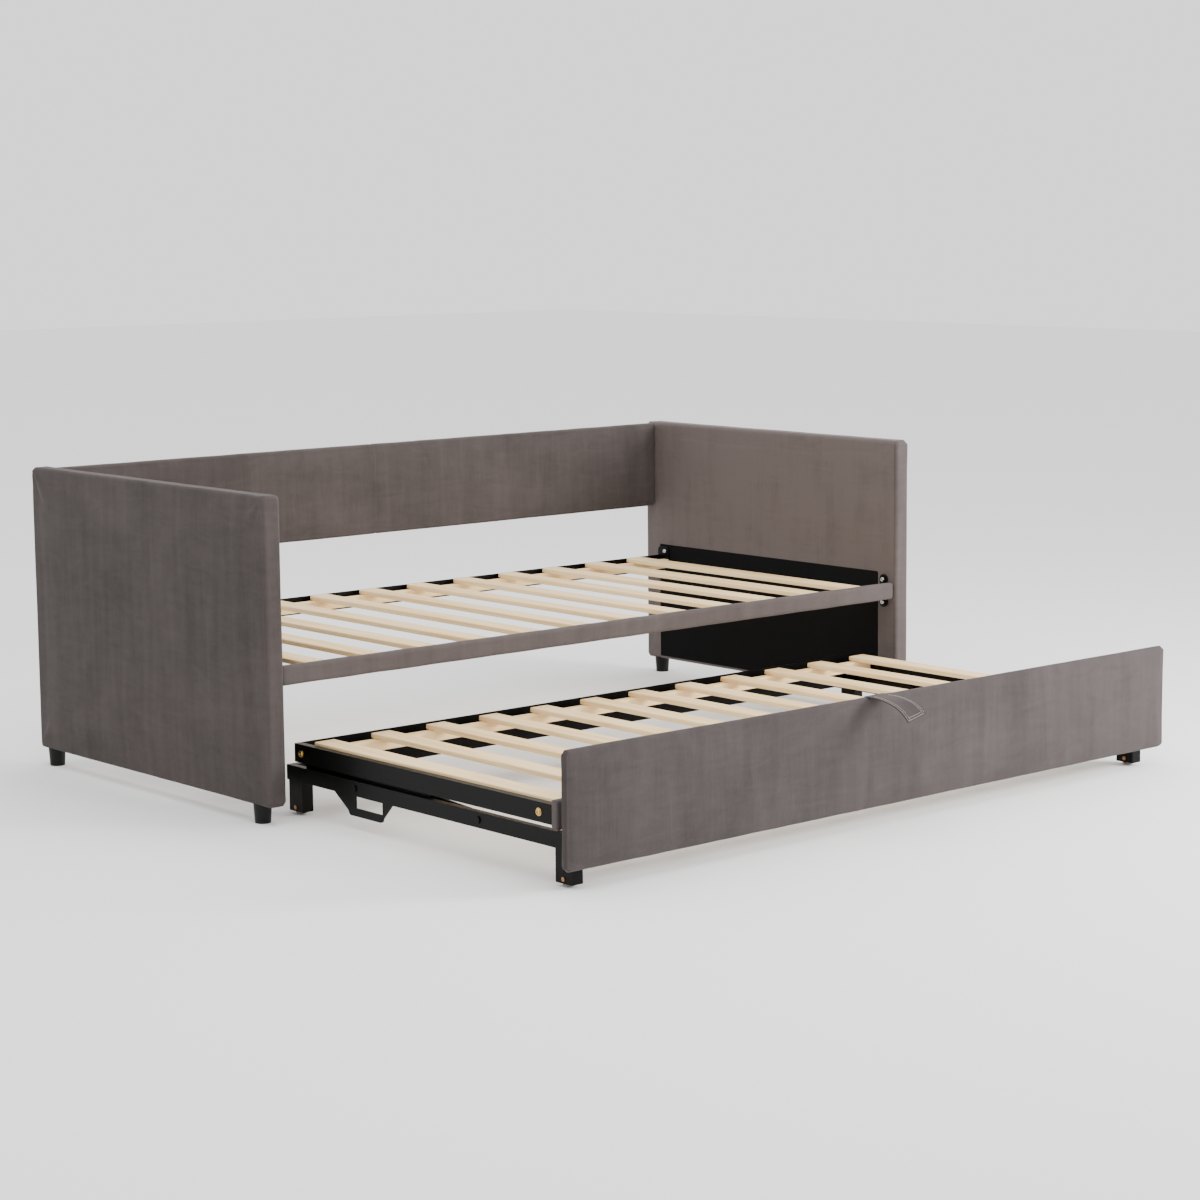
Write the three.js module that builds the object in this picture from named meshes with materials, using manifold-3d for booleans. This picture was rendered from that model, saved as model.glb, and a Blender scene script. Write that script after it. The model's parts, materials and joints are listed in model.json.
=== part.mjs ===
// Upholstered daybed with a pop-up trundle underneath.
// Millimetres, +Z up, X along the bed, the open front side towards -Y.
// The trundle stands pulled out, with its sprung deck folded down on its carriage.
import * as THREE from 'three';
import { mergeVertices } from 'three/addons/utils/BufferGeometryUtils.js';
import Module from 'manifold-3d';

const wasm = await Module();
wasm.setup();

// ---- driving dimensions -------------------------------------------------------------------------

const GAP = 0.3; // between pieces that rest on each other or are cut by each other

// daybed
const OVERALL_LENGTH = 2060;
const ARM_DEPTH = 1000;
const ARM_HEIGHT = 735;
const ARM_THICKNESS = 48;
const ARM_CORNER = 12;
const UPHOLSTERY = 8; // foam and velvet over a wooden board
const SOFT_EDGE = 7; // rounding of an upholstered edge

const FOOT_HEIGHT = 45;
const FOOT_TOP_RADIUS = 21;
const FOOT_BOTTOM_RADIUS = 18;
const FOOT_FRONT_INSET = 62;
const FOOT_REAR_INSET = 38;

const LINING_FRONT_MARGIN = 63; // velvet turned round the front edge of an arm
const LINING_REAR_MARGIN = 58;
const LINING_HEIGHT = 331;
const LINING_BOTTOM_MARGIN = 6;
const LINING_RECESS = 1.5; // dust cover below the face of the velvet

const BACK_PANEL_HEIGHT = 237;
const BACK_PANEL_DROP = 3; // below the tops of the arms
const BACK_PANEL_THICKNESS = 33;
const BACK_PANEL_INSET = 9;

const DECK_HEIGHT = 352; // top of the daybed's slats above the floor

// slatted decks
const SLAT_COUNT = 12;
const SLAT_WIDTH = 55;
const SLAT_THICKNESS = 12;
const SLAT_CORNER = 3;
const SLAT_END_GAP = 85.5; // arm to the first slat's edge
const BATTEN_WIDTH = 22;
const BATTEN_HEIGHT = 24.4;
const SLAT_OVERHANG = 7; // slat end beyond its batten

// steel angle rails
const SHEET = 3;
const LEDGE_WIDTH = 42;
const DECK_LEDGE_WIDTH = 75; // trundle's rear angle, wide enough to leave a channel behind the slats
const WEB_HEIGHT = 38;
const FRONT_RAIL_SETBACK = 5.5; // behind the fronts of the arms
const RAIL_PAD_THICKNESS = 22;
const RAIL_PAD_HEIGHT = 44;
const RAIL_PAD_RISE = 4; // above the slats
const REAR_RAIL_INSET = 54;
const END_PLATE_THICKNESS = 4;
const END_PLATE_HEIGHT = 88;
const END_PLATE_DROP = 24; // below the ledge
const FRONT_PLATE_WIDTH = 26;
const REAR_PLATE_WIDTH = 45;

// trundle carriage
const TRUNDLE_SIDE_GAP = 74; // arm to the outer face of the trundle's frame
const STOWED_INSET = 12; // carriage behind the rear edge of the arms when pushed home
const PULL_OUT = 880; // how far the trundle stands out of the bay
const CARRIAGE_DEPTH = 1000;
const SIDE_RAIL_WIDTH = 16;
const SIDE_RAIL_HEIGHT = 34;
const SIDE_RAIL_BOTTOM = 78;
const TUBE_WALL = 2;
const LEG_DEPTH = 50;
const LEG_WIDTH = 30;
const LEG_WALL = 3;
const LEG_BOTTOM = 8;
const REAR_LEG_INSET = 8;
const FRONT_LEG_INSET = 2;
const CROSS_RAIL_DEPTH = 16;

// wheels
const WHEEL_RADIUS = 17.5;
const WHEEL_WIDTH = 18;
const WHEEL_SIDE_CLEARANCE = 3;
const AXLE_RADIUS = 3;
const AXLE_CLEARANCE = 0.6;
const RIVET_RADIUS = 5;
const RIVET_HEIGHT = 1.7;

// stop bracket hanging from each side rail
const BRACKET_THICKNESS = 4;
const BRACKET_REAR_HANG = 242; // carriage's rear end to the bracket's rear eye
const BRACKET_EYE_SPACING = 108;
const BRACKET_EYE_DROP = 37;
const BRACKET_EYE_RADIUS = 9;
const BRACKET_FLARE_REAR = 66;
const BRACKET_FLARE_FRONT = 46;
const BRACKET_WINDOW_MARGIN = 17;

// lifting linkage
const LINK_LENGTH = 195;
const LINK_WIDTH = 22;
const LINK_THICKNESS = 4;
const LINK_RISE = 12; // deck pivot above carriage pivot with the deck down
const REAR_PIVOT = 260; // carriage's rear end to the rear links' lower pivots
const FRONT_PIVOT = 697;
const PIVOT_PIN_RADIUS = 5;
const PIVOT_CLEARANCE = 0.4;
const OPEN_PIVOT_CLEARANCE = 1.2; // front links at the deck, the pivot left open in the joint tree
const PIVOT_HEAD_RADIUS = 8;
const PIVOT_HEAD_HEIGHT = 2.5;
const LUG_WALL = 4;
const LUG_WIDTH = 28;
const LUG_STRAP_HEIGHT = 19;

// trundle deck
const DECK_GAP = 11; // deck's rails above the carriage's rails
const END_RAIL_WIDTH = 18;
const END_RAIL_HEIGHT = 42;
const DECK_REAR_INSET = 33; // deck behind the carriage's rear end
const DECK_DEPTH = 903;
const DECK_SLAT_RISE = 6; // slats above the deck's end rails
const DECK_SLAT_END_GAP = 3;
const DECK_FRONT_RAIL_THICKNESS = 22;
const DECK_FRONT_RAIL_HEIGHT = 62;
const DECK_FRONT_RAIL_RISE = 5; // above the slats
const DECK_FRONT_RAIL_OVERLAP = 2; // past the deck's sides

// front panel and pull strap
const PANEL_LENGTH = 1902;
const PANEL_THICKNESS = 18;
const PANEL_HEIGHT = 249;
const PANEL_BOTTOM = 45;
const PANEL_CLEARANCE = 15; // in front of the carriage
const PANEL_CORNER = 6;
const BLOCK_LENGTH = 60;
const BLOCK_HEIGHT = 36;
const BLOCK_OFFSET = 600;
const STRAP_WIDTH = 60;
const STRAP_THICKNESS = 3;
const STRAP_OFFSET = -56;
const STRAP_REACH = 118; // in front of the panel
const STRAP_DROP = 34; // from the panel's top to the strap's tip
const STRAP_ARCH = 4;

// ---- places worked out from them ----------------------------------------------------------------

const armInnerX = OVERALL_LENGTH / 2 - ARM_THICKNESS;
const armCentreX = OVERALL_LENGTH / 2 - ARM_THICKNESS / 2;
const armFrontY = -ARM_DEPTH / 2;
const armRearY = ARM_DEPTH / 2;
const clearLength = 2 * (armInnerX - GAP);
const backPanelTop = ARM_HEIGHT - BACK_PANEL_DROP;

const deckLength = 2 * (armInnerX - TRUNDLE_SIDE_GAP);
const deckSideX = deckLength / 2;
const carriageRearY = armRearY - STOWED_INSET - PULL_OUT;
const carriageFrontY = carriageRearY - CARRIAGE_DEPTH;
const sideRailTop = SIDE_RAIL_BOTTOM + SIDE_RAIL_HEIGHT;
const sideRailInnerX = deckSideX - SIDE_RAIL_WIDTH;
const endRailBottom = sideRailTop + DECK_GAP;
const endRailTop = endRailBottom + END_RAIL_HEIGHT;
const endRailInnerX = deckSideX - END_RAIL_WIDTH;
const trundleSlatTop = endRailTop + DECK_SLAT_RISE;
const deckRearY = carriageRearY - DECK_REAR_INSET;
const deckFrontY = deckRearY - DECK_DEPTH;
const deckFrontRailTop = trundleSlatTop + DECK_FRONT_RAIL_RISE;
const deckFrontRailFaceY = deckFrontY - GAP - DECK_FRONT_RAIL_THICKNESS;
const panelRearY = Math.min(carriageFrontY, deckFrontRailFaceY) - PANEL_CLEARANCE;
const panelFrontY = panelRearY - PANEL_THICKNESS;
const panelTop = PANEL_BOTTOM + PANEL_HEIGHT;
const linkPivotZ = SIDE_RAIL_BOTTOM + SIDE_RAIL_HEIGHT / 2;
const linkReach = Math.sqrt(LINK_LENGTH ** 2 - LINK_RISE ** 2);
const linkOuterX = sideRailInnerX - LUG_WALL - 2 * PIVOT_CLEARANCE - GAP;

// ---- materials ----------------------------------------------------------------------------------

const paint = (color, roughness, metalness) =>
  new THREE.MeshStandardMaterial({ color, roughness, metalness });
const velvet = () => paint(0x766c68, 0.95, 0);
const plywood = () => paint(0xc9a877, 0.8, 0);
const pine = () => paint(0xecd5ae, 0.7, 0);
const blackSteel = () => paint(0x1f1f1e, 0.5, 0.3);
const blackPlastic = () => paint(0x141414, 0.55, 0);
const dustCover = () => paint(0x121212, 0.9, 0);
const wheelPlastic = () => paint(0x2b2b2b, 0.5, 0);

// ---- helpers ------------------------------------------------------------------------------------

function solidOf(geometry) {
  const bare = geometry.clone();
  bare.deleteAttribute('normal');
  bare.deleteAttribute('uv');
  const merged = mergeVertices(bare, 1e-3);
  return new wasm.Manifold(
    new wasm.Mesh({
      numProp: 3,
      vertProperties: new Float32Array(merged.attributes.position.array),
      triVerts: new Uint32Array(merged.index.array),
    })
  );
}

function geometryOf(solid) {
  const mesh = solid.getMesh();
  const geometry = new THREE.BufferGeometry();
  geometry.setAttribute('position', new THREE.BufferAttribute(mesh.vertProperties, 3));
  geometry.setIndex(new THREE.BufferAttribute(mesh.triVerts, 1));
  geometry.computeVertexNormals();
  return geometry;
}

function join(first, ...others) {
  let solid = solidOf(first);
  for (const other of others) {
    solid = solid.add(solidOf(other));
  }
  return geometryOf(solid);
}

function cut(body, ...tools) {
  let solid = solidOf(body);
  for (const tool of tools) {
    solid = solid.subtract(solidOf(tool));
  }
  return geometryOf(solid);
}

// a box between two opposite corners, in any order
function block(x0, x1, y0, y1, z0, z1) {
  const geometry = new THREE.BoxGeometry(Math.abs(x1 - x0), Math.abs(y1 - y0), Math.abs(z1 - z0));
  return geometry.translate((x0 + x1) / 2, (y0 + y1) / 2, (z0 + z1) / 2);
}

// a round bar along X between two places, in any order
function barAlongX(radius, x0, x1, y, z, segments = 24) {
  const geometry = new THREE.CylinderGeometry(radius, radius, Math.abs(x1 - x0), segments);
  return geometry.rotateZ(Math.PI / 2).translate((x0 + x1) / 2, y, z);
}

// turns a shape drawn in (y, z) and extruded along its own third axis so that it runs along X
const alongX = new THREE.Matrix4().makeBasis(
  new THREE.Vector3(0, 1, 0),
  new THREE.Vector3(0, 0, 1),
  new THREE.Vector3(1, 0, 0)
);

function extrudeAlongX(shape, x0, x1, curveSegments = 8) {
  const start = Math.min(x0, x1);
  const geometry = new THREE.ExtrudeGeometry(shape, {
    depth: Math.abs(x1 - x0),
    bevelEnabled: false,
    curveSegments,
  });
  return geometry.applyMatrix4(alongX).translate(start, 0, 0);
}

function roundedRectangle(width, height, radius) {
  const w = width / 2;
  const h = height / 2;
  const shape = new THREE.Shape();
  shape.moveTo(-w + radius, -h);
  shape.lineTo(w - radius, -h);
  shape.absarc(w - radius, -h + radius, radius, -Math.PI / 2, 0);
  shape.lineTo(w, h - radius);
  shape.absarc(w - radius, h - radius, radius, 0, Math.PI / 2);
  shape.lineTo(-w + radius, h);
  shape.absarc(-w + radius, h - radius, radius, Math.PI / 2, Math.PI);
  shape.lineTo(-w, -h + radius);
  shape.absarc(-w + radius, -h + radius, radius, Math.PI, 1.5 * Math.PI);
  return shape;
}

// an upholstered board with rounded edges, centred on its own middle, thin along its third axis
function paddedBoard(width, height, thickness, corner) {
  const edge = Math.min(SOFT_EDGE, thickness / 2.5);
  const inner = roundedRectangle(width - 2 * edge, height - 2 * edge, corner);
  const geometry = new THREE.ExtrudeGeometry(inner, {
    depth: thickness - 2 * edge,
    bevelThickness: edge,
    bevelSize: edge,
    bevelSegments: 3,
    curveSegments: 4,
  });
  return geometry.translate(0, 0, edge - thickness / 2);
}

// the same board standing across the bed, thin along Y, with its width along X
function paddedBoardAlongX(length, height, thickness, corner) {
  return paddedBoard(length, height, thickness, corner).rotateX(Math.PI / 2);
}

const model = new THREE.Group();
const daybed = new THREE.Group();
const trundle = new THREE.Group();
model.add(daybed, trundle);

function place(group, name, geometry, material, x = 0, y = 0, z = 0) {
  const mesh = new THREE.Mesh(geometry, material);
  mesh.name = name;
  mesh.position.set(x, y, z);
  group.add(mesh);
}

const sides = [
  { name: 'left', sign: -1 },
  { name: 'right', sign: 1 },
];

// ---- daybed arms --------------------------------------------------------------------------------

const armBoardHeight = ARM_HEIGHT - FOOT_HEIGHT;
const armCentreZ = FOOT_HEIGHT + armBoardHeight / 2;
const boardThickness = ARM_THICKNESS - 2 * UPHOLSTERY;
const boardDepth = ARM_DEPTH - 2 * UPHOLSTERY;
const boardHeight = armBoardHeight - 2 * UPHOLSTERY;
const liningFrontY = armFrontY + LINING_FRONT_MARGIN;
const liningRearY = armRearY - LINING_REAR_MARGIN;
const liningBottomZ = FOOT_HEIGHT + LINING_BOTTOM_MARGIN;
const liningTopZ = liningBottomZ + LINING_HEIGHT;
const liningThickness = UPHOLSTERY - GAP - LINING_RECESS;

// velvet cover: a shell round the board, open on the inner face where the dust cover closes it
function armCover(sign) {
  const shell = paddedBoard(ARM_DEPTH, armBoardHeight, ARM_THICKNESS, ARM_CORNER).applyMatrix4(alongX);
  const pocket = block(
    -boardThickness / 2 - GAP, boardThickness / 2 + GAP,
    -boardDepth / 2 - GAP, boardDepth / 2 + GAP,
    -boardHeight / 2 - GAP, boardHeight / 2 + GAP
  );
  const opening = block(
    0, -sign * ARM_THICKNESS,
    liningFrontY, liningRearY,
    liningBottomZ - armCentreZ, liningTopZ - armCentreZ
  );
  return cut(shell, pocket, opening);
}

for (const { name, sign } of sides) {
  const x = sign * armCentreX;
  place(daybed, `${name}_arm_cover`, armCover(sign), velvet(), x, 0, armCentreZ);

  const board = new THREE.BoxGeometry(boardThickness, boardDepth, boardHeight);
  place(daybed, `${name}_arm_board`, board, plywood(), x, 0, armCentreZ);

  const lining = new THREE.BoxGeometry(
    liningThickness,
    liningRearY - liningFrontY - 2 * GAP,
    LINING_HEIGHT - 2 * GAP
  );
  const liningX = x - sign * (boardThickness / 2 + GAP + liningThickness / 2);
  const liningY = (liningFrontY + liningRearY) / 2;
  const liningZ = (liningBottomZ + liningTopZ) / 2;
  place(daybed, `${name}_arm_lining`, lining, dustCover(), liningX, liningY, liningZ);

  const footHeight = FOOT_HEIGHT - GAP;
  const footYs = { front: armFrontY + FOOT_FRONT_INSET, rear: armRearY - FOOT_REAR_INSET };
  for (const [end, footY] of Object.entries(footYs)) {
    const foot = new THREE.CylinderGeometry(FOOT_TOP_RADIUS, FOOT_BOTTOM_RADIUS, footHeight, 32);
    foot.rotateX(Math.PI / 2);
    place(daybed, `foot_${end}_${name}`, foot, blackPlastic(), x, footY, footHeight / 2);
  }
}

// ---- daybed back --------------------------------------------------------------------------------

const backPanel = paddedBoardAlongX(clearLength, BACK_PANEL_HEIGHT, BACK_PANEL_THICKNESS, 4);
const backPanelY = armRearY - BACK_PANEL_INSET - BACK_PANEL_THICKNESS / 2;
place(daybed, 'back_panel', backPanel, velvet(), 0, backPanelY, backPanelTop - BACK_PANEL_HEIGHT / 2);

// ---- slats on battens ---------------------------------------------------------------------------

// One row of slats across a deck, lying on a batten at the front and one at the rear.
function slattedDeck(group, prefix, deck) {
  const slatLength = deck.slatRearY - deck.slatFrontY;
  const slatY = (deck.slatRearY + deck.slatFrontY) / 2;
  const slatZ = deck.top - SLAT_THICKNESS / 2;
  const pitch = (deck.length - 2 * deck.endGap - SLAT_WIDTH) / (SLAT_COUNT - 1);
  for (let i = 0; i < SLAT_COUNT; i += 1) {
    const edge = new THREE.ExtrudeGeometry(roundedRectangle(SLAT_WIDTH, SLAT_THICKNESS, SLAT_CORNER), {
      depth: slatLength,
      bevelEnabled: false,
      curveSegments: 3,
    });
    edge.translate(0, 0, -slatLength / 2).rotateX(Math.PI / 2);
    const number = String(i + 1).padStart(2, '0');
    place(group, `${prefix}_slat_${number}`, edge, pine(), (i - (SLAT_COUNT - 1) / 2) * pitch, slatY, slatZ);
  }
  const battenZ = deck.top - SLAT_THICKNESS - GAP - BATTEN_HEIGHT / 2;
  for (const [end, y] of [['rear', deck.rearBattenY], ['front', deck.frontBattenY]]) {
    const batten = new THREE.BoxGeometry(deck.battenLength, BATTEN_WIDTH, BATTEN_HEIGHT);
    place(group, `${prefix}_${end}_batten`, batten, pine(), 0, y, battenZ);
  }
}

// A steel angle: its web stands at webY, and its ledge runs from there towards the middle of the deck.
// inward is the direction of the ledge along Y, and ledgeTop the height that the batten lies on.
function angleRail(length, webY, inward, ledgeTop, webTop, ledgeWidth = LEDGE_WIDTH) {
  const ledgeBottom = ledgeTop - SHEET;
  const web = block(-length / 2, length / 2, webY, webY + inward * SHEET, ledgeBottom, webTop);
  const ledge = block(-length / 2, length / 2, webY, webY + inward * (SHEET + ledgeWidth), ledgeBottom, ledgeTop);
  return join(web, ledge);
}

// the round-ended plate that bolts an angle's end to an arm
function endPlate(sign, y0, y1, bottom) {
  const width = Math.abs(y1 - y0);
  const shape = roundedRectangle(width, END_PLATE_HEIGHT, Math.min(width, FRONT_PLATE_WIDTH) / 2 - 1);
  const outer = sign * (armInnerX - GAP);
  const plate = extrudeAlongX(shape, outer, outer - sign * END_PLATE_THICKNESS, 6);
  return plate.translate(0, (y0 + y1) / 2, bottom + END_PLATE_HEIGHT / 2);
}

const ledgeTop = DECK_HEIGHT - SLAT_THICKNESS - BATTEN_HEIGHT - 2 * GAP;
const ledgeBottom = ledgeTop - SHEET;
const webTop = ledgeBottom + WEB_HEIGHT;
const railPadFrontY = armFrontY + FRONT_RAIL_SETBACK;
const railPadRearY = railPadFrontY + RAIL_PAD_THICKNESS;
const frontWebY = railPadRearY + GAP;
const rearWebY = armRearY - REAR_RAIL_INSET;
const plateBottom = ledgeBottom - END_PLATE_DROP;

const railPad = paddedBoardAlongX(clearLength, RAIL_PAD_HEIGHT, RAIL_PAD_THICKNESS, 3);
const railPadTop = DECK_HEIGHT + RAIL_PAD_RISE;
place(daybed, 'front_rail_cover', railPad, velvet(),
  0, (railPadFrontY + railPadRearY) / 2, railPadTop - RAIL_PAD_HEIGHT / 2);

function boltedAngle(webY, inward, plateWidth) {
  const angle = angleRail(clearLength, webY, inward, ledgeTop, webTop);
  const plates = sides.map(({ sign }) => endPlate(sign, webY, webY + inward * plateWidth, plateBottom));
  return join(angle, ...plates);
}

place(daybed, 'front_rail', boltedAngle(frontWebY, 1, FRONT_PLATE_WIDTH), blackSteel());
place(daybed, 'rear_rail', boltedAngle(rearWebY, -1, REAR_PLATE_WIDTH), blackSteel());

const daybedBattenInset = SHEET + LEDGE_WIDTH - BATTEN_WIDTH / 2;
const rearBattenY = rearWebY - daybedBattenInset;
const frontBattenY = frontWebY + daybedBattenInset;
slattedDeck(daybed, 'daybed', {
  length: clearLength,
  endGap: SLAT_END_GAP,
  top: DECK_HEIGHT,
  rearBattenY,
  frontBattenY,
  slatRearY: rearBattenY + BATTEN_WIDTH / 2 + SLAT_OVERHANG,
  slatFrontY: frontBattenY - BATTEN_WIDTH / 2 - SLAT_OVERHANG,
  battenLength: clearLength - 2 * (END_PLATE_THICKNESS + GAP),
});

// ---- trundle carriage ---------------------------------------------------------------------------

const legs = [
  { end: 'rear', y: carriageRearY - REAR_LEG_INSET - LEG_DEPTH / 2 },
  { end: 'front', y: carriageFrontY + FRONT_LEG_INSET + LEG_DEPTH / 2 },
];
const linkPivots = [
  { end: 'rear', y: carriageRearY - REAR_PIVOT, clearance: PIVOT_CLEARANCE },
  { end: 'front', y: carriageRearY - FRONT_PIVOT, clearance: OPEN_PIVOT_CLEARANCE },
];

// the plate with two eyes and a window that hangs below a side rail
function stopBracket(sign) {
  const rearEye = carriageRearY - BRACKET_REAR_HANG;
  const frontEye = rearEye - BRACKET_EYE_SPACING;
  const eyeZ = SIDE_RAIL_BOTTOM - BRACKET_EYE_DROP;
  const top = SIDE_RAIL_BOTTOM + TUBE_WALL;
  const r = BRACKET_EYE_RADIUS;
  const shape = new THREE.Shape();
  shape.moveTo(rearEye + BRACKET_FLARE_REAR, top);
  shape.lineTo(frontEye - BRACKET_FLARE_FRONT, top);
  shape.lineTo(frontEye - r, eyeZ);
  shape.absarc(frontEye, eyeZ, r, Math.PI, 1.5 * Math.PI);
  shape.absarc(rearEye, eyeZ, r, -Math.PI / 2, 0);
  const plateX = sign * (deckSideX - SHEET);
  const plate = extrudeAlongX(shape, plateX, plateX - sign * BRACKET_THICKNESS);
  const window = block(
    0, 2 * plateX,
    rearEye - BRACKET_WINDOW_MARGIN, frontEye - BRACKET_WINDOW_MARGIN / 2,
    eyeZ + r, SIDE_RAIL_BOTTOM
  );
  return cut(plate, window);
}

// side rail, its two legs and the stop bracket, welded into one frame
function sideFrame(sign) {
  const outerX = sign * deckSideX;
  const innerX = sign * sideRailInnerX;
  const wall = sign * TUBE_WALL;
  let frame = solidOf(block(outerX, innerX, carriageRearY, carriageFrontY, SIDE_RAIL_BOTTOM, sideRailTop));
  for (const leg of legs) {
    frame = frame.add(solidOf(block(
      outerX, outerX - sign * LEG_WIDTH,
      leg.y - LEG_DEPTH / 2, leg.y + LEG_DEPTH / 2,
      LEG_BOTTOM, SIDE_RAIL_BOTTOM
    )));
  }
  frame = frame.subtract(solidOf(block(
    outerX - wall, innerX + wall,
    carriageRearY + 1, carriageFrontY - 1,
    SIDE_RAIL_BOTTOM + TUBE_WALL, sideRailTop - TUBE_WALL
  )));
  frame = frame.add(solidOf(stopBracket(sign)));
  for (const leg of legs) {
    const slotTop = SIDE_RAIL_BOTTOM - TUBE_WALL;
    frame = frame.subtract(solidOf(block(
      outerX - sign * LEG_WALL, outerX - sign * (LEG_WIDTH - LEG_WALL),
      leg.y - LEG_DEPTH / 2 + LEG_WALL, leg.y + LEG_DEPTH / 2 - LEG_WALL,
      0, slotTop
    )));
    frame = frame.subtract(solidOf(barAlongX(
      AXLE_RADIUS + AXLE_CLEARANCE, outerX + sign, outerX - sign * (LEG_WIDTH + 1), leg.y, WHEEL_RADIUS
    )));
  }
  for (const pivot of linkPivots) {
    frame = frame.subtract(solidOf(barAlongX(
      PIVOT_PIN_RADIUS + PIVOT_CLEARANCE, outerX + sign, innerX - sign, pivot.y, linkPivotZ
    )));
  }
  return geometryOf(frame);
}

for (const { name, sign } of sides) {
  place(trundle, `carriage_${name}_frame`, sideFrame(sign), blackSteel());
}

// a tube between the side rails, resting on the shoulders of the wider legs
function crossRail(rearY) {
  const x = sideRailInnerX - GAP;
  const frontY = rearY - CROSS_RAIL_DEPTH;
  const bottom = SIDE_RAIL_BOTTOM + GAP;
  const tube = block(-x, x, rearY, frontY, bottom, sideRailTop);
  const bore = block(
    -x - 1, x + 1,
    rearY - TUBE_WALL, frontY + TUBE_WALL,
    bottom + TUBE_WALL, sideRailTop - TUBE_WALL
  );
  return cut(tube, bore);
}

place(trundle, 'carriage_rear_rail', crossRail(carriageRearY), blackSteel());
place(trundle, 'carriage_front_rail', crossRail(carriageFrontY + CROSS_RAIL_DEPTH), blackSteel());

// ---- wheels, each with the rivet that it turns on -----------------------------------------------

function wheelProfile() {
  const half = WHEEL_WIDTH / 2;
  const chamfer = 2;
  const rivetEnd = LEG_WIDTH / 2 + GAP;
  return [
    [0, -rivetEnd - RIVET_HEIGHT],
    [RIVET_RADIUS, -rivetEnd - RIVET_HEIGHT],
    [RIVET_RADIUS, -rivetEnd],
    [AXLE_RADIUS, -rivetEnd],
    [AXLE_RADIUS, -half],
    [WHEEL_RADIUS - chamfer, -half],
    [WHEEL_RADIUS, -half + chamfer],
    [WHEEL_RADIUS, half - chamfer],
    [WHEEL_RADIUS - chamfer, half],
    [AXLE_RADIUS, half],
    [AXLE_RADIUS, rivetEnd],
    [RIVET_RADIUS, rivetEnd],
    [RIVET_RADIUS, rivetEnd + RIVET_HEIGHT],
    [0, rivetEnd + RIVET_HEIGHT],
  ].map(([radius, along]) => new THREE.Vector2(radius, along));
}

for (const { name, sign } of sides) {
  for (const leg of legs) {
    const wheel = new THREE.LatheGeometry(wheelProfile(), 32).rotateZ(-Math.PI / 2);
    const x = sign * (deckSideX - LEG_WIDTH / 2);
    place(trundle, `wheel_${leg.end}_${name}`, wheel, wheelPlastic(), x, leg.y, WHEEL_RADIUS);
  }
}

// ---- lifting links ------------------------------------------------------------------------------

// A flat bar from its lower pivot to its deck pivot, with a pin at each end.
// With the deck down it points back along the side rail and rises a little.
function liftLink(sign, pivotY) {
  const half = LINK_WIDTH / 2;
  const bar = roundedRectangle(LINK_LENGTH + LINK_WIDTH, LINK_WIDTH, half - 0.01);
  const outerX = sign * linkOuterX;
  const innerX = outerX - sign * LINK_THICKNESS;
  const blade = extrudeAlongX(bar, outerX, innerX, 8);
  blade.rotateX(Math.asin(LINK_RISE / LINK_LENGTH));
  blade.translate(0, pivotY + linkReach / 2, linkPivotZ + LINK_RISE / 2);
  const headX = sign * (deckSideX + GAP);
  const lowerPin = barAlongX(PIVOT_PIN_RADIUS, innerX + sign, headX + sign, pivotY, linkPivotZ);
  const head = barAlongX(PIVOT_HEAD_RADIUS, headX, headX + sign * PIVOT_HEAD_HEIGHT, pivotY, linkPivotZ);
  const upperPin = barAlongX(
    PIVOT_PIN_RADIUS, innerX + sign, sign * (sideRailInnerX - GAP),
    pivotY + linkReach, linkPivotZ + LINK_RISE
  );
  return join(blade, lowerPin, head, upperPin);
}

for (const pivot of linkPivots) {
  for (const { name, sign } of sides) {
    place(trundle, `${name}_${pivot.end}_lift_link`, liftLink(sign, pivot.y), blackSteel());
  }
}

// ---- trundle deck frame -------------------------------------------------------------------------

const trundleLedgeTop = trundleSlatTop - SLAT_THICKNESS - BATTEN_HEIGHT - 2 * GAP;
const lugOuterX = sideRailInnerX - PIVOT_CLEARANCE;
const lugInnerX = lugOuterX - LUG_WALL;
const lugTop = trundleLedgeTop - SHEET - GAP;

// the ear under an end rail that a link's upper pin turns in
function pivotLug(sign, pivot) {
  const y = pivot.y + linkReach;
  const z = linkPivotZ + LINK_RISE;
  const half = LUG_WIDTH / 2;
  const shape = new THREE.Shape();
  shape.moveTo(y + half, lugTop);
  shape.lineTo(y - half, lugTop);
  shape.lineTo(y - LINK_WIDTH / 2, z);
  shape.absarc(y, z, LINK_WIDTH / 2, Math.PI, 2 * Math.PI);
  return extrudeAlongX(shape, sign * lugOuterX, sign * lugInnerX);
}

// end rail: a square tube with two ears and the strap that stiffens it between them
function endRail(sign) {
  const outerX = sign * deckSideX;
  const innerX = sign * endRailInnerX;
  const wall = sign * TUBE_WALL;
  const tube = block(outerX, innerX, deckRearY, deckFrontY, endRailBottom, endRailTop);
  const bore = block(
    outerX - wall, innerX + wall,
    deckRearY + 1, deckFrontY - 1,
    endRailBottom + TUBE_WALL, endRailTop - TUBE_WALL
  );
  const strap = block(
    sign * lugOuterX, sign * lugInnerX,
    linkPivots[1].y + linkReach, linkPivots[0].y + linkReach,
    lugTop - LUG_STRAP_HEIGHT, lugTop
  );
  let rail = solidOf(tube).subtract(solidOf(bore)).add(solidOf(strap));
  for (const pivot of linkPivots) {
    rail = rail.add(solidOf(pivotLug(sign, pivot)));
    rail = rail.subtract(solidOf(barAlongX(
      PIVOT_PIN_RADIUS + pivot.clearance, sign * (lugOuterX + 1), sign * (lugInnerX - 1),
      pivot.y + linkReach, linkPivotZ + LINK_RISE
    )));
  }
  return geometryOf(rail);
}

for (const { name, sign } of sides) {
  place(trundle, `deck_${name}_rail`, endRail(sign), blackSteel());
}

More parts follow.
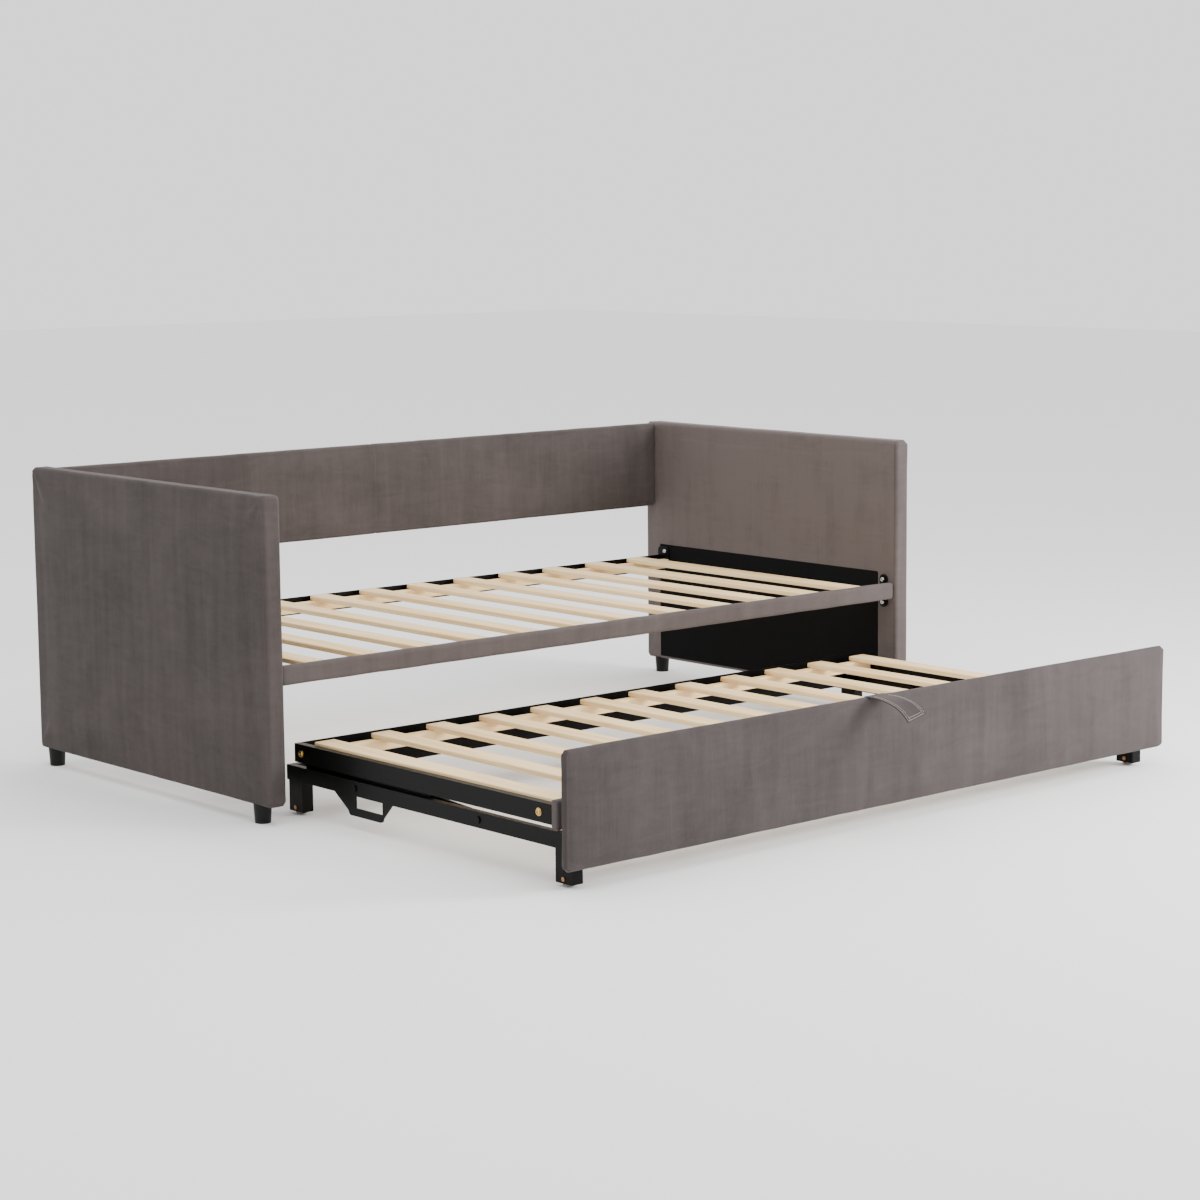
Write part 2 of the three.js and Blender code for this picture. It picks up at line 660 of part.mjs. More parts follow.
const innerLength = 2 * (endRailInnerX - GAP);
const deckRearRail = angleRail(innerLength, deckRearY, -1, trundleLedgeTop, endRailTop, DECK_LEDGE_WIDTH);
place(trundle, 'deck_rear_rail', deckRearRail, blackSteel());

const deckFrontRail = paddedBoardAlongX(
  deckLength + 2 * DECK_FRONT_RAIL_OVERLAP, DECK_FRONT_RAIL_HEIGHT, DECK_FRONT_RAIL_THICKNESS, 3
);
place(trundle, 'deck_front_rail', deckFrontRail, velvet(),
  0, deckFrontRailFaceY + DECK_FRONT_RAIL_THICKNESS / 2, deckFrontRailTop - DECK_FRONT_RAIL_HEIGHT / 2);

const trundleRearBattenY = deckRearY - (SHEET + DECK_LEDGE_WIDTH - BATTEN_WIDTH / 2);
const trundleFrontBattenY = deckFrontY + BATTEN_WIDTH / 2;
slattedDeck(trundle, 'trundle', {
  length: innerLength,
  endGap: DECK_SLAT_END_GAP,
  top: trundleSlatTop,
  rearBattenY: trundleRearBattenY,
  frontBattenY: trundleFrontBattenY,
  slatRearY: trundleRearBattenY + BATTEN_WIDTH / 2 + SLAT_OVERHANG,
  slatFrontY: deckFrontY + DECK_SLAT_END_GAP,
  battenLength: 2 * (lugInnerX - 2 * GAP - LINK_THICKNESS),
});

// ---- front panel and pull strap -----------------------------------------------------------------

// padded front with two blocks glued behind it, which screw to the deck's front rail
function frontPanel() {
  const board = paddedBoardAlongX(PANEL_LENGTH, PANEL_HEIGHT, PANEL_THICKNESS, PANEL_CORNER);
  board.translate(0, (panelFrontY + panelRearY) / 2, PANEL_BOTTOM + PANEL_HEIGHT / 2);
  const blockZ = (trundleSlatTop + endRailBottom) / 2;
  const blocks = sides.map(({ sign }) => block(
    sign * BLOCK_OFFSET - BLOCK_LENGTH / 2, sign * BLOCK_OFFSET + BLOCK_LENGTH / 2,
    deckFrontRailFaceY - GAP, panelRearY - PANEL_THICKNESS / 2,
    blockZ - BLOCK_HEIGHT / 2, blockZ + BLOCK_HEIGHT / 2
  ));
  return join(board, ...blocks);
}

place(trundle, 'front_panel', frontPanel(), velvet());

// the strap lies on the panel's top edge, stands out in front of it and droops to its tip
function pullStrap() {
  const t = STRAP_THICKNESS;
  const root = PANEL_THICKNESS - 3;
  const tip = new THREE.Vector2(-STRAP_REACH, -STRAP_DROP);
  const shoulder = new THREE.Vector2(-STRAP_REACH * 0.42, STRAP_ARCH);
  const bend = new THREE.Vector2(-STRAP_REACH * 0.78, -STRAP_DROP * 0.22);
  const slope = tip.clone().sub(bend).normalize();
  const up = new THREE.Vector2(slope.y, -slope.x).multiplyScalar(t);
  const shape = new THREE.Shape();
  shape.moveTo(root, t);
  shape.bezierCurveTo(shoulder.x, shoulder.y + t, bend.x, bend.y + t, tip.x, tip.y);
  shape.lineTo(tip.x - up.x, tip.y - up.y);
  shape.bezierCurveTo(bend.x - up.x, bend.y + t - up.y, shoulder.x, shoulder.y, root, 0);
  return extrudeAlongX(shape, -STRAP_WIDTH / 2, STRAP_WIDTH / 2, 12);
}

place(trundle, 'pull_strap', pullStrap(), velvet(), STRAP_OFFSET, panelFrontY, panelTop + GAP);

// ---- the origin is on the floor, under the middle of the whole object ---------------------------

model.updateMatrixWorld(true);
const bounds = new THREE.Box3().setFromObject(model);
const middle = bounds.getCenter(new THREE.Vector3());
model.position.set(-middle.x, -middle.y, -bounds.min.z);

export default model;
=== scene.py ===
"""Looks of an upholstered daybed with a pop-up trundle: velvet, pine and powder-coated steel."""

import json
import math

import bpy
from mathutils import Matrix, Vector, noise


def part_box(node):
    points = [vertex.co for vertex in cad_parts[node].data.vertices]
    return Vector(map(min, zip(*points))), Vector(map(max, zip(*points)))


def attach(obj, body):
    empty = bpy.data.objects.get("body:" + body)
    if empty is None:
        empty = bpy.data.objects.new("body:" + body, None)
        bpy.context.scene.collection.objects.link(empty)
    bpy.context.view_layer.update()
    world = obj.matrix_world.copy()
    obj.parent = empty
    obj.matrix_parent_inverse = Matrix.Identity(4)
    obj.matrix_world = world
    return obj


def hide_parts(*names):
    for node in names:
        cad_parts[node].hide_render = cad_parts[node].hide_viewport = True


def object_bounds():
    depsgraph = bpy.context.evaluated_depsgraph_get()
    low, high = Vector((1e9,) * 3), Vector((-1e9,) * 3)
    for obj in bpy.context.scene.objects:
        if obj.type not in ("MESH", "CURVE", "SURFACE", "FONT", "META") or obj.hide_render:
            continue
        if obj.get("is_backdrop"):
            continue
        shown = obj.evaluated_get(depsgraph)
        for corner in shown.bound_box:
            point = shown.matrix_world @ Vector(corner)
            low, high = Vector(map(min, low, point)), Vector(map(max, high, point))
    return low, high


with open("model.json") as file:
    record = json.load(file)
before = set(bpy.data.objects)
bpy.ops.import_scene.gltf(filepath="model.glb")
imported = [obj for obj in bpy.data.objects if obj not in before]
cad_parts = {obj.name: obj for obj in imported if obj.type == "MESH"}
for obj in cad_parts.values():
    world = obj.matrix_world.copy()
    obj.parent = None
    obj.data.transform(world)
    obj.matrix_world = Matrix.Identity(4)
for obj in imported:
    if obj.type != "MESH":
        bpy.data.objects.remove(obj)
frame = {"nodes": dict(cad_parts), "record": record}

bl_info = {
    "name": "Daybed and trundle",
    "version": (1, 0, 0),
    "blender": (4, 5, 0),
    "location": "View3D > Sidebar > Daybed",
    "description": "Builds the upholstery, timber, hardware and stage round the bed's frame",
    "category": "Object",
}

NODES = frame["nodes"]
SIDES = {"left": -1, "right": 1}

# Camera, in metres and radians; its place along y is counted from the middle of the arms.
LENS = 83.28
SHIFT = (-0.0654, -0.0189)
CAMERA_X = -4.4073
CAMERA_BEFORE_ARMS = 5.559
CAMERA_HEIGHT = 1.3546
CAMERA_HEADING = -0.73835
CAMERA_DIP = 0.13218
CAMERA_ROLL = -0.00586

# Padding
ROUND_SHARE = 0.68  # of a bevel, kept as the rounding of the padded edge
CLOTH_MOMENTS = 20
EDGE_SHARPNESS = 24  # how late a face's direction turns towards its neighbour's
ARM_CAP = 0.004  # how far the cloth may move on each piece
BACK_CAP = 0.0035
PANEL_CAP = 0.003
RAIL_CAP = 0.002
PUCKER_REACH = 0.12  # from an arm's corner
LINING_TUCK = 0.02  # how far the arms' lining is tucked in at its foot
PANEL_THICKNESS = 0.018
PANEL_HEM = 0.028  # velvet left bare round the front panel's dust cover

# Blocks that hold the front panel
BLOCK_X = 0.6
BLOCK_HALF = 0.03
BLOCK_LOW = 0.129
BLOCK_HIGH = 0.165

# Pull strap and its stitches
STRAP_THICKNESS = 0.0026
STRAP_BEND = 0.015
PATH_STEPS = 60
STITCH_ROWS = (0.004, 0.0095)  # distance of each row from the strap's edge
STITCH_PITCH = 0.0042
STITCH_SHARE = 0.62  # of the pitch, covered by thread
STITCH_RADIUS = 0.00034
STITCH_LIFT = 0.0015

# Bolts and washers, as radius and height
DAYBED_HEAD = (0.0062, 0.0038)
DAYBED_WASHER = (0.0092, 0.0018)
DECK_HEAD = (0.0068, 0.0034)
DECK_WASHER = (0.0088, 0.0012)
BOLT_INSET = 0.0135
PLATE_THICKNESS = 0.004

# Carriage
RAIL_HEIGHT = 0.034
RAIL_SETBACK = 0.014
LEG_DEPTH = 0.05
BEAD_RADIUS = 0.0016
BEAD_PITCH = 0.004
BRACKET_X = (0.884, 0.9)
BRACKET_FLANGE = 0.003
RIVET_REACH = 0.0149  # from the wheel's middle, past which its rivet shows


# ---- settings ----


def colour_property(name, description, default):
    return bpy.props.FloatVectorProperty(
        name=name, description=description, default=default, size=3, min=0, max=1, subtype="COLOR"
    )


def length_property(name, description, default):
    return bpy.props.FloatProperty(
        name=name, description=description, default=default, min=0, unit="LENGTH"
    )


class DaybedUpholstery(bpy.types.PropertyGroup):
    velvet_deep: colour_property("Velvet, deep", "Pile seen end on", (0.022, 0.0180, 0.0169))
    velvet_pale: colour_property("Velvet, brushed", "Pile laid flat", (0.090, 0.0746, 0.0719))
    lining: colour_property("Dust cover", "Black nonwoven cloth", (0.006, 0.006, 0.0062))
    thread: colour_property("Thread", "Stitching on the pull strap", (0.55, 0.50, 0.47))
    arm_edge: length_property("Arm edge", "Rounding of the arms' edges", 0.012)
    rail_edge: length_property("Rail edge", "Rounding of rails and panels", 0.006)
    voxel: length_property("Cloth cell", "Cell size of the padded pieces", 0.009)
    waviness: length_property("Waviness", "Height of the soft unevenness in the padding", 0.0006)
    fullness: bpy.props.FloatProperty(
        name="Fullness", description="Air pressure under the cloth", default=4.0, min=0
    )


class DaybedTimber(bpy.types.PropertyGroup):
    pine_pale: colour_property("Pine, early wood", "Wood between the rings", (0.94, 0.70, 0.38))
    pine_deep: colour_property("Pine, late wood", "Darker lines of the rings", (0.74, 0.44, 0.17))
    knot: colour_property("Knot", "Centre of a knot", (0.26, 0.12, 0.045))
    board: colour_property("Board", "Plywood inside the arms", (0.55, 0.38, 0.2))


class DaybedMetal(bpy.types.PropertyGroup):
    powder_coat: colour_property("Powder coat", "Black coat on the steel", (0.0018, 0.0018, 0.0017))
    plastic: colour_property("Plastic", "Moulded feet", (0.0025, 0.0025, 0.0025))
    nylon: colour_property("Nylon", "Wheels", (0.2, 0.18, 0.15))
    brass: colour_property("Brass", "Yellow passivated bolts", (0.72, 0.5, 0.16))
    zinc: colour_property("Zinc", "Bright bolts and staples", (0.62, 0.61, 0.58))
    copper: colour_property("Copper", "Axle rivets", (0.42, 0.22, 0.11))


class DaybedStage(bpy.types.PropertyGroup):
    floor: colour_property("Floor", "Pale studio floor", (0.92, 0.92, 0.92))
    key_power: bpy.props.FloatProperty(
        name="Key light", description="Soft light from the front", default=215, min=0, unit="POWER"
    )
    top_power: bpy.props.FloatProperty(
        name="Top light", description="Soft light overhead", default=150, min=0, unit="POWER"
    )
    sky: bpy.props.FloatProperty(
        name="Surroundings", description="Brightness of the white surroundings", default=1.5, min=0
    )


# ---- materials ----


class Wire:
    """A shader socket that arithmetic can be written on."""

    def __init__(self, finish, socket):
        self.finish = finish
        self.socket = socket

    def math(self, operation, *values):
        settings = {"operation": operation}
        inputs = dict(enumerate(values))
        return self.finish.node("ShaderNodeMath", settings, inputs)[0]

    def __add__(self, other):
        return self.math("ADD", self, other)

    def __sub__(self, other):
        return self.math("SUBTRACT", self, other)

    def __rsub__(self, other):
        return self.math("SUBTRACT", other, self)

    def __mul__(self, other):
        return self.math("MULTIPLY", self, other)

    def __truediv__(self, other):
        return self.math("DIVIDE", self, other)

    def __lt__(self, other):
        return self.math("LESS_THAN", self, other)

    def __gt__(self, other):
        return self.math("GREATER_THAN", self, other)

    def __abs__(self):
        return self.math("ABSOLUTE", self)

    __radd__ = __add__
    __rmul__ = __mul__


class Finish:
    """One material, with the nodes that make its pattern."""

    def __init__(self, name, **constants):
        self.material = bpy.data.materials.new(name)
        self.material.use_nodes = True
        self.tree = self.material.node_tree
        self.shader = self.tree.nodes["Principled BSDF"]
        for socket, value in constants.items():
            self.shader.inputs[socket.replace("_", " ")].default_value = value

    def node(self, kind, settings=None, inputs=None):
        """Adds a node of this kind and gives its outputs."""
        made = self.tree.nodes.new(kind)
        for name, value in (settings or {}).items():
            if name == "stops":
                elements = made.color_ramp.elements
                while len(elements) < len(value):
                    elements.new(0.5)
                for element, (place, shade) in zip(elements, value):
                    element.position = place
                    element.color = (shade, shade, shade, 1)
            else:
                setattr(made, name, value)
        for key, value in (inputs or {}).items():
            self.put(made.inputs[key], value)
        return [Wire(self, socket) for socket in made.outputs]

    def put(self, socket, value):
        if isinstance(value, Wire):
            self.tree.links.new(value.socket, socket)
        elif hasattr(value, "__len__") and len(socket.default_value) == 4 and len(value) == 3:
            socket.default_value = (*value, 1)
        else:
            socket.default_value = value

    def place(self, scale=(1, 1, 1), turn=(0, 0, 0)):
        """The point on the object, stretched for a pattern."""
        point = self.node("ShaderNodeTexCoord")[3]
        inputs = {"Vector": point, "Scale": scale, "Rotation": turn}
        return self.node("ShaderNodeMapping", None, inputs)[0]

    def noise(self, point, scale, detail=2.0, roughness=0.5, distortion=0.0):
        inputs = {
            "Vector": point,
            "Scale": scale,
            "Detail": detail,
            "Roughness": roughness,
            "Distortion": distortion,
        }
        return self.node("ShaderNodeTexNoise", None, inputs)[0]

    def ramp(self, value, *stops):
        return self.node("ShaderNodeValToRGB", {"stops": stops}, {"Fac": value})[0]

    def blend(self, mask, first, second):
        """first where the mask is 0, second where it is 1."""
        made = self.node("ShaderNodeMix", {"data_type": "RGBA"}, {0: mask, 6: first, 7: second})
        return made[2]

    def surface(self, colour, roughness, metallic=None, height=None, depth=0.0005, strength=1.0):
        """Joins the patterns to the shader and gives the material."""
        self.put(self.shader.inputs["Base Color"], colour)
        self.put(self.shader.inputs["Roughness"], roughness)
        if metallic is not None:
            self.put(self.shader.inputs["Metallic"], metallic)
        if height is not None:
            inputs = {"Height": height, "Distance": depth, "Strength": strength}
            bump = self.node("ShaderNodeBump", None, inputs)[0]
            self.tree.links.new(bump.socket, self.shader.inputs["Normal"])
        return self.material


def settings(group):
    return getattr(bpy.context.scene, group)


def finish(name, build):
    """The material of this name, built the first time it is asked for."""
    return bpy.data.materials.get(name) or build(name)


def clamped(value):
    """The value, kept between 0 and 1."""
    return value.math("MINIMUM", value.math("MAXIMUM", value, 0.0), 1.0)


def velvet(name, lay=0.0, painted_light_sweep=0.0, edge=None, painted_light_gain=1.0):
    """Cotton velvet, whose tone is partly the way its pile was brushed and partly painted light and
    shade.

    lay is the tone of the piece; the change along x is a painted brightening, edge gives a painted
    tone to the faces in front of a place in y, and the brightness of the whole is scaled as painted
    light.
    """
    cloth = settings("daybed_upholstery")
    f = Finish(name, Sheen_Weight=0.1, Sheen_Roughness=0.4, Sheen_Tint=(0.80, 0.74, 0.71, 1))
    f.put(f.shader.inputs["Specular IOR Level"], 0.15)
    point = f.place()
    brushed = f.noise(f.place((26, 26, 2.4)), 1.0, 4, 0.62, 0.3)
    patches = f.noise(point, 3.6, 3, 0.55, 0.8)
    strokes = f.noise(f.place((9, 9, 34), (0.5, 0.3, 0.2)), 1.0, 3, 0.6, 1.4)
    ribs = f.noise(f.place((420, 420, 36)), 1.0, 2, 0.6)
    weft = f.noise(f.place((40, 40, 420)), 1.0, 2, 0.6)
    pile = f.noise(point, 1500, 2, 0.7)
    shade = (brushed - 0.5) * 0.5 + (patches - 0.5) * 0.65 + (strokes - 0.5) * 0.3
    grain = (ribs - 0.5) * 0.2 + (weft - 0.5) * 0.03 + (pile - 0.5) * 0.55
    along, back = f.node("ShaderNodeSeparateXYZ", None, {0: point})[:2]
    # The piece's tone, its change along x and the tone in front of edge_y are partly painted light
    # and shade.
    tone = shade + grain + (0.5 + lay) + along * painted_light_sweep
    if edge:
        edge_y, front_painted_tone = edge
        tone = tone + (back < edge_y) * (front_painted_tone - lay)
    # Painted light: the whole piece's colour is scaled brighter.
    deep = [c * painted_light_gain for c in cloth.velvet_deep]
    pale = [c * painted_light_gain for c in cloth.velvet_pale]
    colour = f.blend(clamped(tone), deep, pale)
    roughness = 0.86 + (patches - 0.5) * 0.3
    height = pile * 0.5 + ribs * 0.25 + weft * 0.05 + brushed * 0.4
    return f.surface(colour, roughness, height=height, depth=0.0006, strength=0.5)


def lining_cloth(name):
    cloth = settings("daybed_upholstery")
    f = Finish(name, Specular_IOR_Level=0.03)
    point = f.place()
    fibres = f.noise(point, 700, 4, 0.75, 1.5)
    spots = f.node("ShaderNodeTexVoronoi", None, {"Vector": point, "Scale": 420})[0]
    pressed = spots < 0.28
    colour = f.blend(fibres * 0.5 + pressed * 0.3, cloth.lining, (0.0125, 0.0125, 0.013))
    height = fibres - pressed * 0.4
    return f.surface(colour, 0.95 - pressed * 0.2, height=height, depth=0.0003, strength=0.5)


def thread(name):
    f = Finish(name, Sheen_Weight=0.3)
    twist = f.noise(f.place((1, 1, 1)), 2600, 2, 0.5)
    pale = settings("daybed_upholstery").thread
    colour = f.blend(twist, [c * 0.7 for c in pale], pale)
    return f.surface(colour, 0.7 + twist * 0.1, height=twist, depth=0.0002)


def timber(name, along):
    """Planed pine, with its grain along X or Y."""
    wood = settings("daybed_timber")

    def stretched(across, length):
        return f.place((length, across, across) if along == "X" else (across, length, across))

    f = Finish(name, Specular_IOR_Level=0.35)
    growth = f.noise(stretched(10, 0.55), 1.0, 2.5, 0.5, 0.25)
    rings = growth.math("SINE", growth * 62) * 0.5 + 0.5
    broad = f.noise(stretched(4.5, 0.5), 1.0, 2, 0.5)
    pores = f.noise(stretched(900, 14), 1.0, 2, 0.6)
    streaks = f.noise(stretched(130, 2.2), 1.0, 3, 0.6)
    inputs = {"Vector": stretched(11, 4.2), "Scale": 1.0}
    cells = f.node("ShaderNodeTexVoronoi", {"feature": "F1"}, inputs)
    chosen = f.node("ShaderNodeSeparateColor", None, {0: cells[1]})[0] > 0.83
    knot = f.ramp(cells[0], (0.0, 1.0), (0.085, 0.85), (0.13, 0.0))
    halo = f.ramp(cells[0], (0.0, 1.0), (0.16, 0.75), (0.34, 0.0))
    knot_mask = f.node("ShaderNodeRGBToBW", None, {0: knot})[0] * chosen
    halo_mask = f.node("ShaderNodeRGBToBW", None, {0: halo})[0] * chosen
    late = rings.math("POWER", rings, 2.2) * 0.42 + (streaks - 0.5) * 0.5
    late = late + (broad - 0.45) * 0.7 + halo_mask * 0.5
    colour = f.blend(clamped(late), wood.pine_pale, wood.pine_deep)
    colour = f.blend((pores > 0.66) * 0.16, colour, wood.pine_deep)
    colour = f.blend(knot_mask, colour, wood.knot)
    height = pores * 0.5 - rings * 0.25 - knot_mask * 0.4
    roughness = 0.56 + (streaks - 0.5) * 0.2 + knot_mask * 0.1
    return f.surface(colour, roughness, height=height, depth=0.0003, strength=0.35)


def plywood(name):
    wood = settings("daybed_timber")
    f = Finish(name)
    veneer = f.noise(f.place((60, 2, 6)), 1.0, 4, 0.6, 0.5)
    colour = f.blend(veneer, wood.board, wood.pine_deep)
    return f.surface(colour, 0.75 + veneer * 0.1, height=veneer, depth=0.0003)


def powder_coat(name):
    metal = settings("daybed_metal")
    f = Finish(name, Specular_IOR_Level=0.09)
    point = f.place()
    peel = f.noise(point, 780, 2, 0.5)
    handled = f.noise(point, 11, 5, 0.65, 0.4)
    specks = f.noise(point, 420, 1, 0.5) > 0.74
    colour = f.blend(handled * 0.45 + specks * 0.12, metal.powder_coat, (0.005, 0.0049, 0.0047))
    roughness = 0.33 + (handled - 0.5) * 0.25 + (peel - 0.5) * 0.12
    return f.surface(colour, roughness, height=peel, depth=0.00025, strength=0.45)


def moulded_plastic(name):
    metal = settings("daybed_metal")
    f = Finish(name, Specular_IOR_Level=0.2)
    point = f.place()
    sparks = f.noise(point, 1700, 2, 0.6)
    scuffs = f.noise(f.place((8, 8, 60)), 1.0, 4, 0.7, 0.5)
    colour = f.blend(scuffs * 0.4, metal.plastic, (0.008, 0.008, 0.0083))
    roughness = 0.42 + (scuffs - 0.5) * 0.24
    return f.surface(colour, roughness, height=sparks, depth=0.0002, strength=0.3)


def wheel_finish(name):
    """Grey nylon, with the copper rivet that stands out of both sides of the leg."""
    metal = settings("daybed_metal")
    low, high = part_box("wheel_front_right")
    f = Finish(name)
    point = f.place()
    across = f.node("ShaderNodeSeparateXYZ", None, {0: point})[0]
    middle = (low.x + high.x) / 2
    rivet = abs(abs(across) - middle) > RIVET_REACH
    wear = f.noise(point, 160, 4, 0.7)
    plastic = f.blend(wear * 0.5, metal.nylon, [c * 0.4 for c in metal.nylon])
    copper = f.blend(wear, metal.copper, [c * 0.5 for c in metal.copper])
    roughness = 0.5 - rivet * 0.18 + (wear - 0.5) * 0.2
    return f.surface(f.blend(rivet, plastic, copper), roughness, rivet, wear, 0.0002, 0.4)


def plated(name, tint):
    """Plated metal with fine turning marks and a little tarnish."""
    f = Finish(name)
    point = f.place()
    tarnish = f.noise(point, 240, 5, 0.7, 0.6)
    marks = f.noise(point, 2400, 1, 0.5)
    colour = f.blend(tarnish * 0.6, tint, [c * 0.55 for c in tint])
    return f.surface(colour, 0.24 + (tarnish - 0.4) * 0.3, 1.0, marks, 0.0001, 0.4)


def zinc(name):
    return plated(name, settings("daybed_metal").zinc)


def brass(name):
    return plated(name, settings("daybed_metal").brass)


def dress(node, material):
    """Gives a node of the frame its finish."""
    for place in NODES[node].material_slots:
        place.material = material


# ---- modelling ----


def deselect():
    if bpy.context.object and bpy.context.object.mode != "OBJECT":
        bpy.ops.object.mode_set(mode="OBJECT")
    bpy.ops.object.select_all(action="DESELECT")


def make_active(piece):
    deselect()
    piece.select_set(True)
    bpy.context.view_layer.objects.active = piece


def settle(piece, name):
    """Names the piece and puts its place into its mesh."""
    make_active(piece)
    bpy.ops.object.transform_apply(location=True, rotation=True, scale=True)
    piece.name = name
    piece.data.name = name
    return piece


def select_faces(piece, wanted):
    """Selects, in edit mode, the faces whose centre and normal are wanted."""
    bpy.ops.object.mode_set(mode="OBJECT")
    for part in (piece.data.vertices, piece.data.edges, piece.data.polygons):
        part.foreach_set("select", [False] * len(part))
    for face in piece.data.polygons:
        face.select = wanted(face.center, face.normal)
    bpy.ops.object.mode_set(mode="EDIT")
    bpy.ops.mesh.select_mode(type="FACE")


def block(name, low, high, bevel=0.0, segments=2):
    """A box between two corners with bevelled edges."""
    deselect()
    low, high = Vector(low), Vector(high)
    bpy.ops.mesh.primitive_cube_add(size=1, location=(low + high) / 2)
    piece = bpy.context.object
    piece.scale = high - low
    settle(piece, name)
    if bevel:
        bpy.ops.object.mode_set(mode="EDIT")
        bpy.ops.mesh.select_all(action="SELECT")
        bpy.ops.mesh.bevel(offset=bevel, segments=segments)
        bpy.ops.object.mode_set(mode="OBJECT")
    return piece


def rod(name, vertices, radius, length, middle=(0, 0, 0), turn=(0, 0, 0)):
    deselect()
    bpy.ops.mesh.primitive_cylinder_add(
        vertices=vertices, radius=radius, depth=length, location=middle, rotation=turn
    )
    return settle(bpy.context.object, name)


def flat_sheet(name, cells, size=(1, 1), middle=(0, 0, 0), turn=(0, 0, 0)):
    """A grid of cells, sized and turned into its place."""
    deselect()
    bpy.ops.mesh.primitive_grid_add(x_subdivisions=cells[0], y_subdivisions=cells[1], size=1)
    sheet = bpy.context.object
    sheet.scale = (*size, 1)
    sheet.rotation_euler = turn
    sheet.location = middle
    return settle(sheet, name)


def joined(name, pieces):
    make_active(pieces[0])
    for piece in pieces:
        piece.select_set(True)
    if len(pieces) > 1:
        bpy.ops.object.join()
    return settle(pieces[0], name)


def copy_of(piece, name, move):
    twin = piece.copy()
    twin.data = piece.data.copy()
    twin.name = name
    bpy.context.collection.objects.link(twin)
    twin.data.transform(Matrix.Translation(Vector(move)))
    return twin


def hand_over(piece, body, material, replaces=(), angle=None):
    """Paints the piece, joins it to its body and hides the nodes that it stands for."""
    piece.data.materials.clear()
    piece.data.materials.append(material)
    make_active(piece)
    if angle is None:
        bpy.ops.object.shade_smooth()
    else:
        bpy.ops.object.shade_smooth_by_angle(angle=math.radians(angle))
    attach(piece, body)
    if replaces:
        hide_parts(*replaces)


# ---- padding ----


def coordinates(piece):
    return [vertex.co.copy() for vertex in piece.data.vertices]


def blow_up(piece, cap, held):
    """Fills the cloth with air, then pulls each point back to within cap of where it began."""
    start = coordinates(piece)
    make_active(piece)
    group = piece.vertex_groups.new(name="held")
    group.add([i for i, co in enumerate(start) if held(co)], 1.0, "REPLACE")
    cloth = piece.modifiers.new("Cloth", "CLOTH").settings
    cloth.quality = 4
    cloth.mass = 0.4
    cloth.tension_stiffness = 12
    cloth.compression_stiffness = 12
    cloth.shear_stiffness = 4
    cloth.bending_stiffness = 0.8
    cloth.use_pressure = True
    cloth.uniform_pressure_force = settings("daybed_upholstery").fullness
    cloth.effector_weights.gravity = 0
    cloth.vertex_group_mass = "held"
    for moment in range(1, CLOTH_MOMENTS + 1):
        bpy.context.scene.frame_set(moment)
    bpy.ops.object.modifier_apply(modifier="Cloth")
    bpy.context.scene.frame_set(1)
    for vertex, co in zip(piece.data.vertices, start):
        step = vertex.co - co
        if step.length > cap:
            vertex.co = co + step * (cap / step.length)
    piece.vertex_groups.clear()


def padded_slab(name, box, edge, cell, cap, held=lambda co: False):
    """A board wrapped in foam and cloth: soft edges, faces that crown between the held places."""
    low, high = box
    piece = block(name, low, high, edge, 4)
    make_active(piece)
    piece.data.remesh_voxel_size = cell
    bpy.ops.object.voxel_remesh()
    bpy.ops.object.mode_set(mode="EDIT")
    bpy.ops.mesh.select_all(action="SELECT")
    bpy.ops.mesh.vertices_smooth(factor=0.5, repeat=3)
    bpy.ops.object.mode_set(mode="OBJECT")
    radius = edge * ROUND_SHARE
    work_over(piece, lambda co: filled(co, low, high, radius))
    blow_up(piece, cap, held)
    smooth = piece.modifiers.new("Subdivision", "SUBSURF")
    smooth.levels = smooth.render_levels = 1
    bpy.ops.object.modifier_apply(modifier="Subdivision")
    work_over(piece, lambda co: filled(co, low, high, radius))
    return piece


def filled(co, low, high, radius):
    """The point brought out, where the padding falls short, to a box with edges of this radius."""
    core = Vector([min(max(co[i], low[i] + radius), high[i] - radius) for i in range(3)])
    away = co - core
    if 0 < away.length < radius:
        return core + away * (radius / away.length)
    return co


def work_over(piece, shape):
    """Moves each point to where shape says."""
    for vertex in piece.data.vertices:
        vertex.co = shape(vertex.co)
    piece.data.update()


def unevenness(co, amount):
    """Soft lumps in the foam, and shorter ripples in the cloth."""
    ripples = noise.noise(co * 23.0 + Vector((3, 1, 7))) * amount * 0.35
    return noise.noise(co * 7.0) * amount + ripples


def outward(co, low, high):
    """The direction out of the slab's nearest face, as a soft mix near its edges."""
    middle = (low + high) / 2
    half = (high - low) / 2
    ways = [(co[i] - middle[i]) / half[i] for i in range(3)]
    away = Vector([abs(w) ** EDGE_SHARPNESS * (1 if w > 0 else -1) for w in ways])
    return away.normalized() if away.length > 1e-6 else Vector((0, 0, 0))


def crease(distance, width, depth):
    """How far a seam or fold pulls the cloth in at this distance from it."""
    return depth * math.exp(-((distance / width) ** 2))


# ---- operators ----


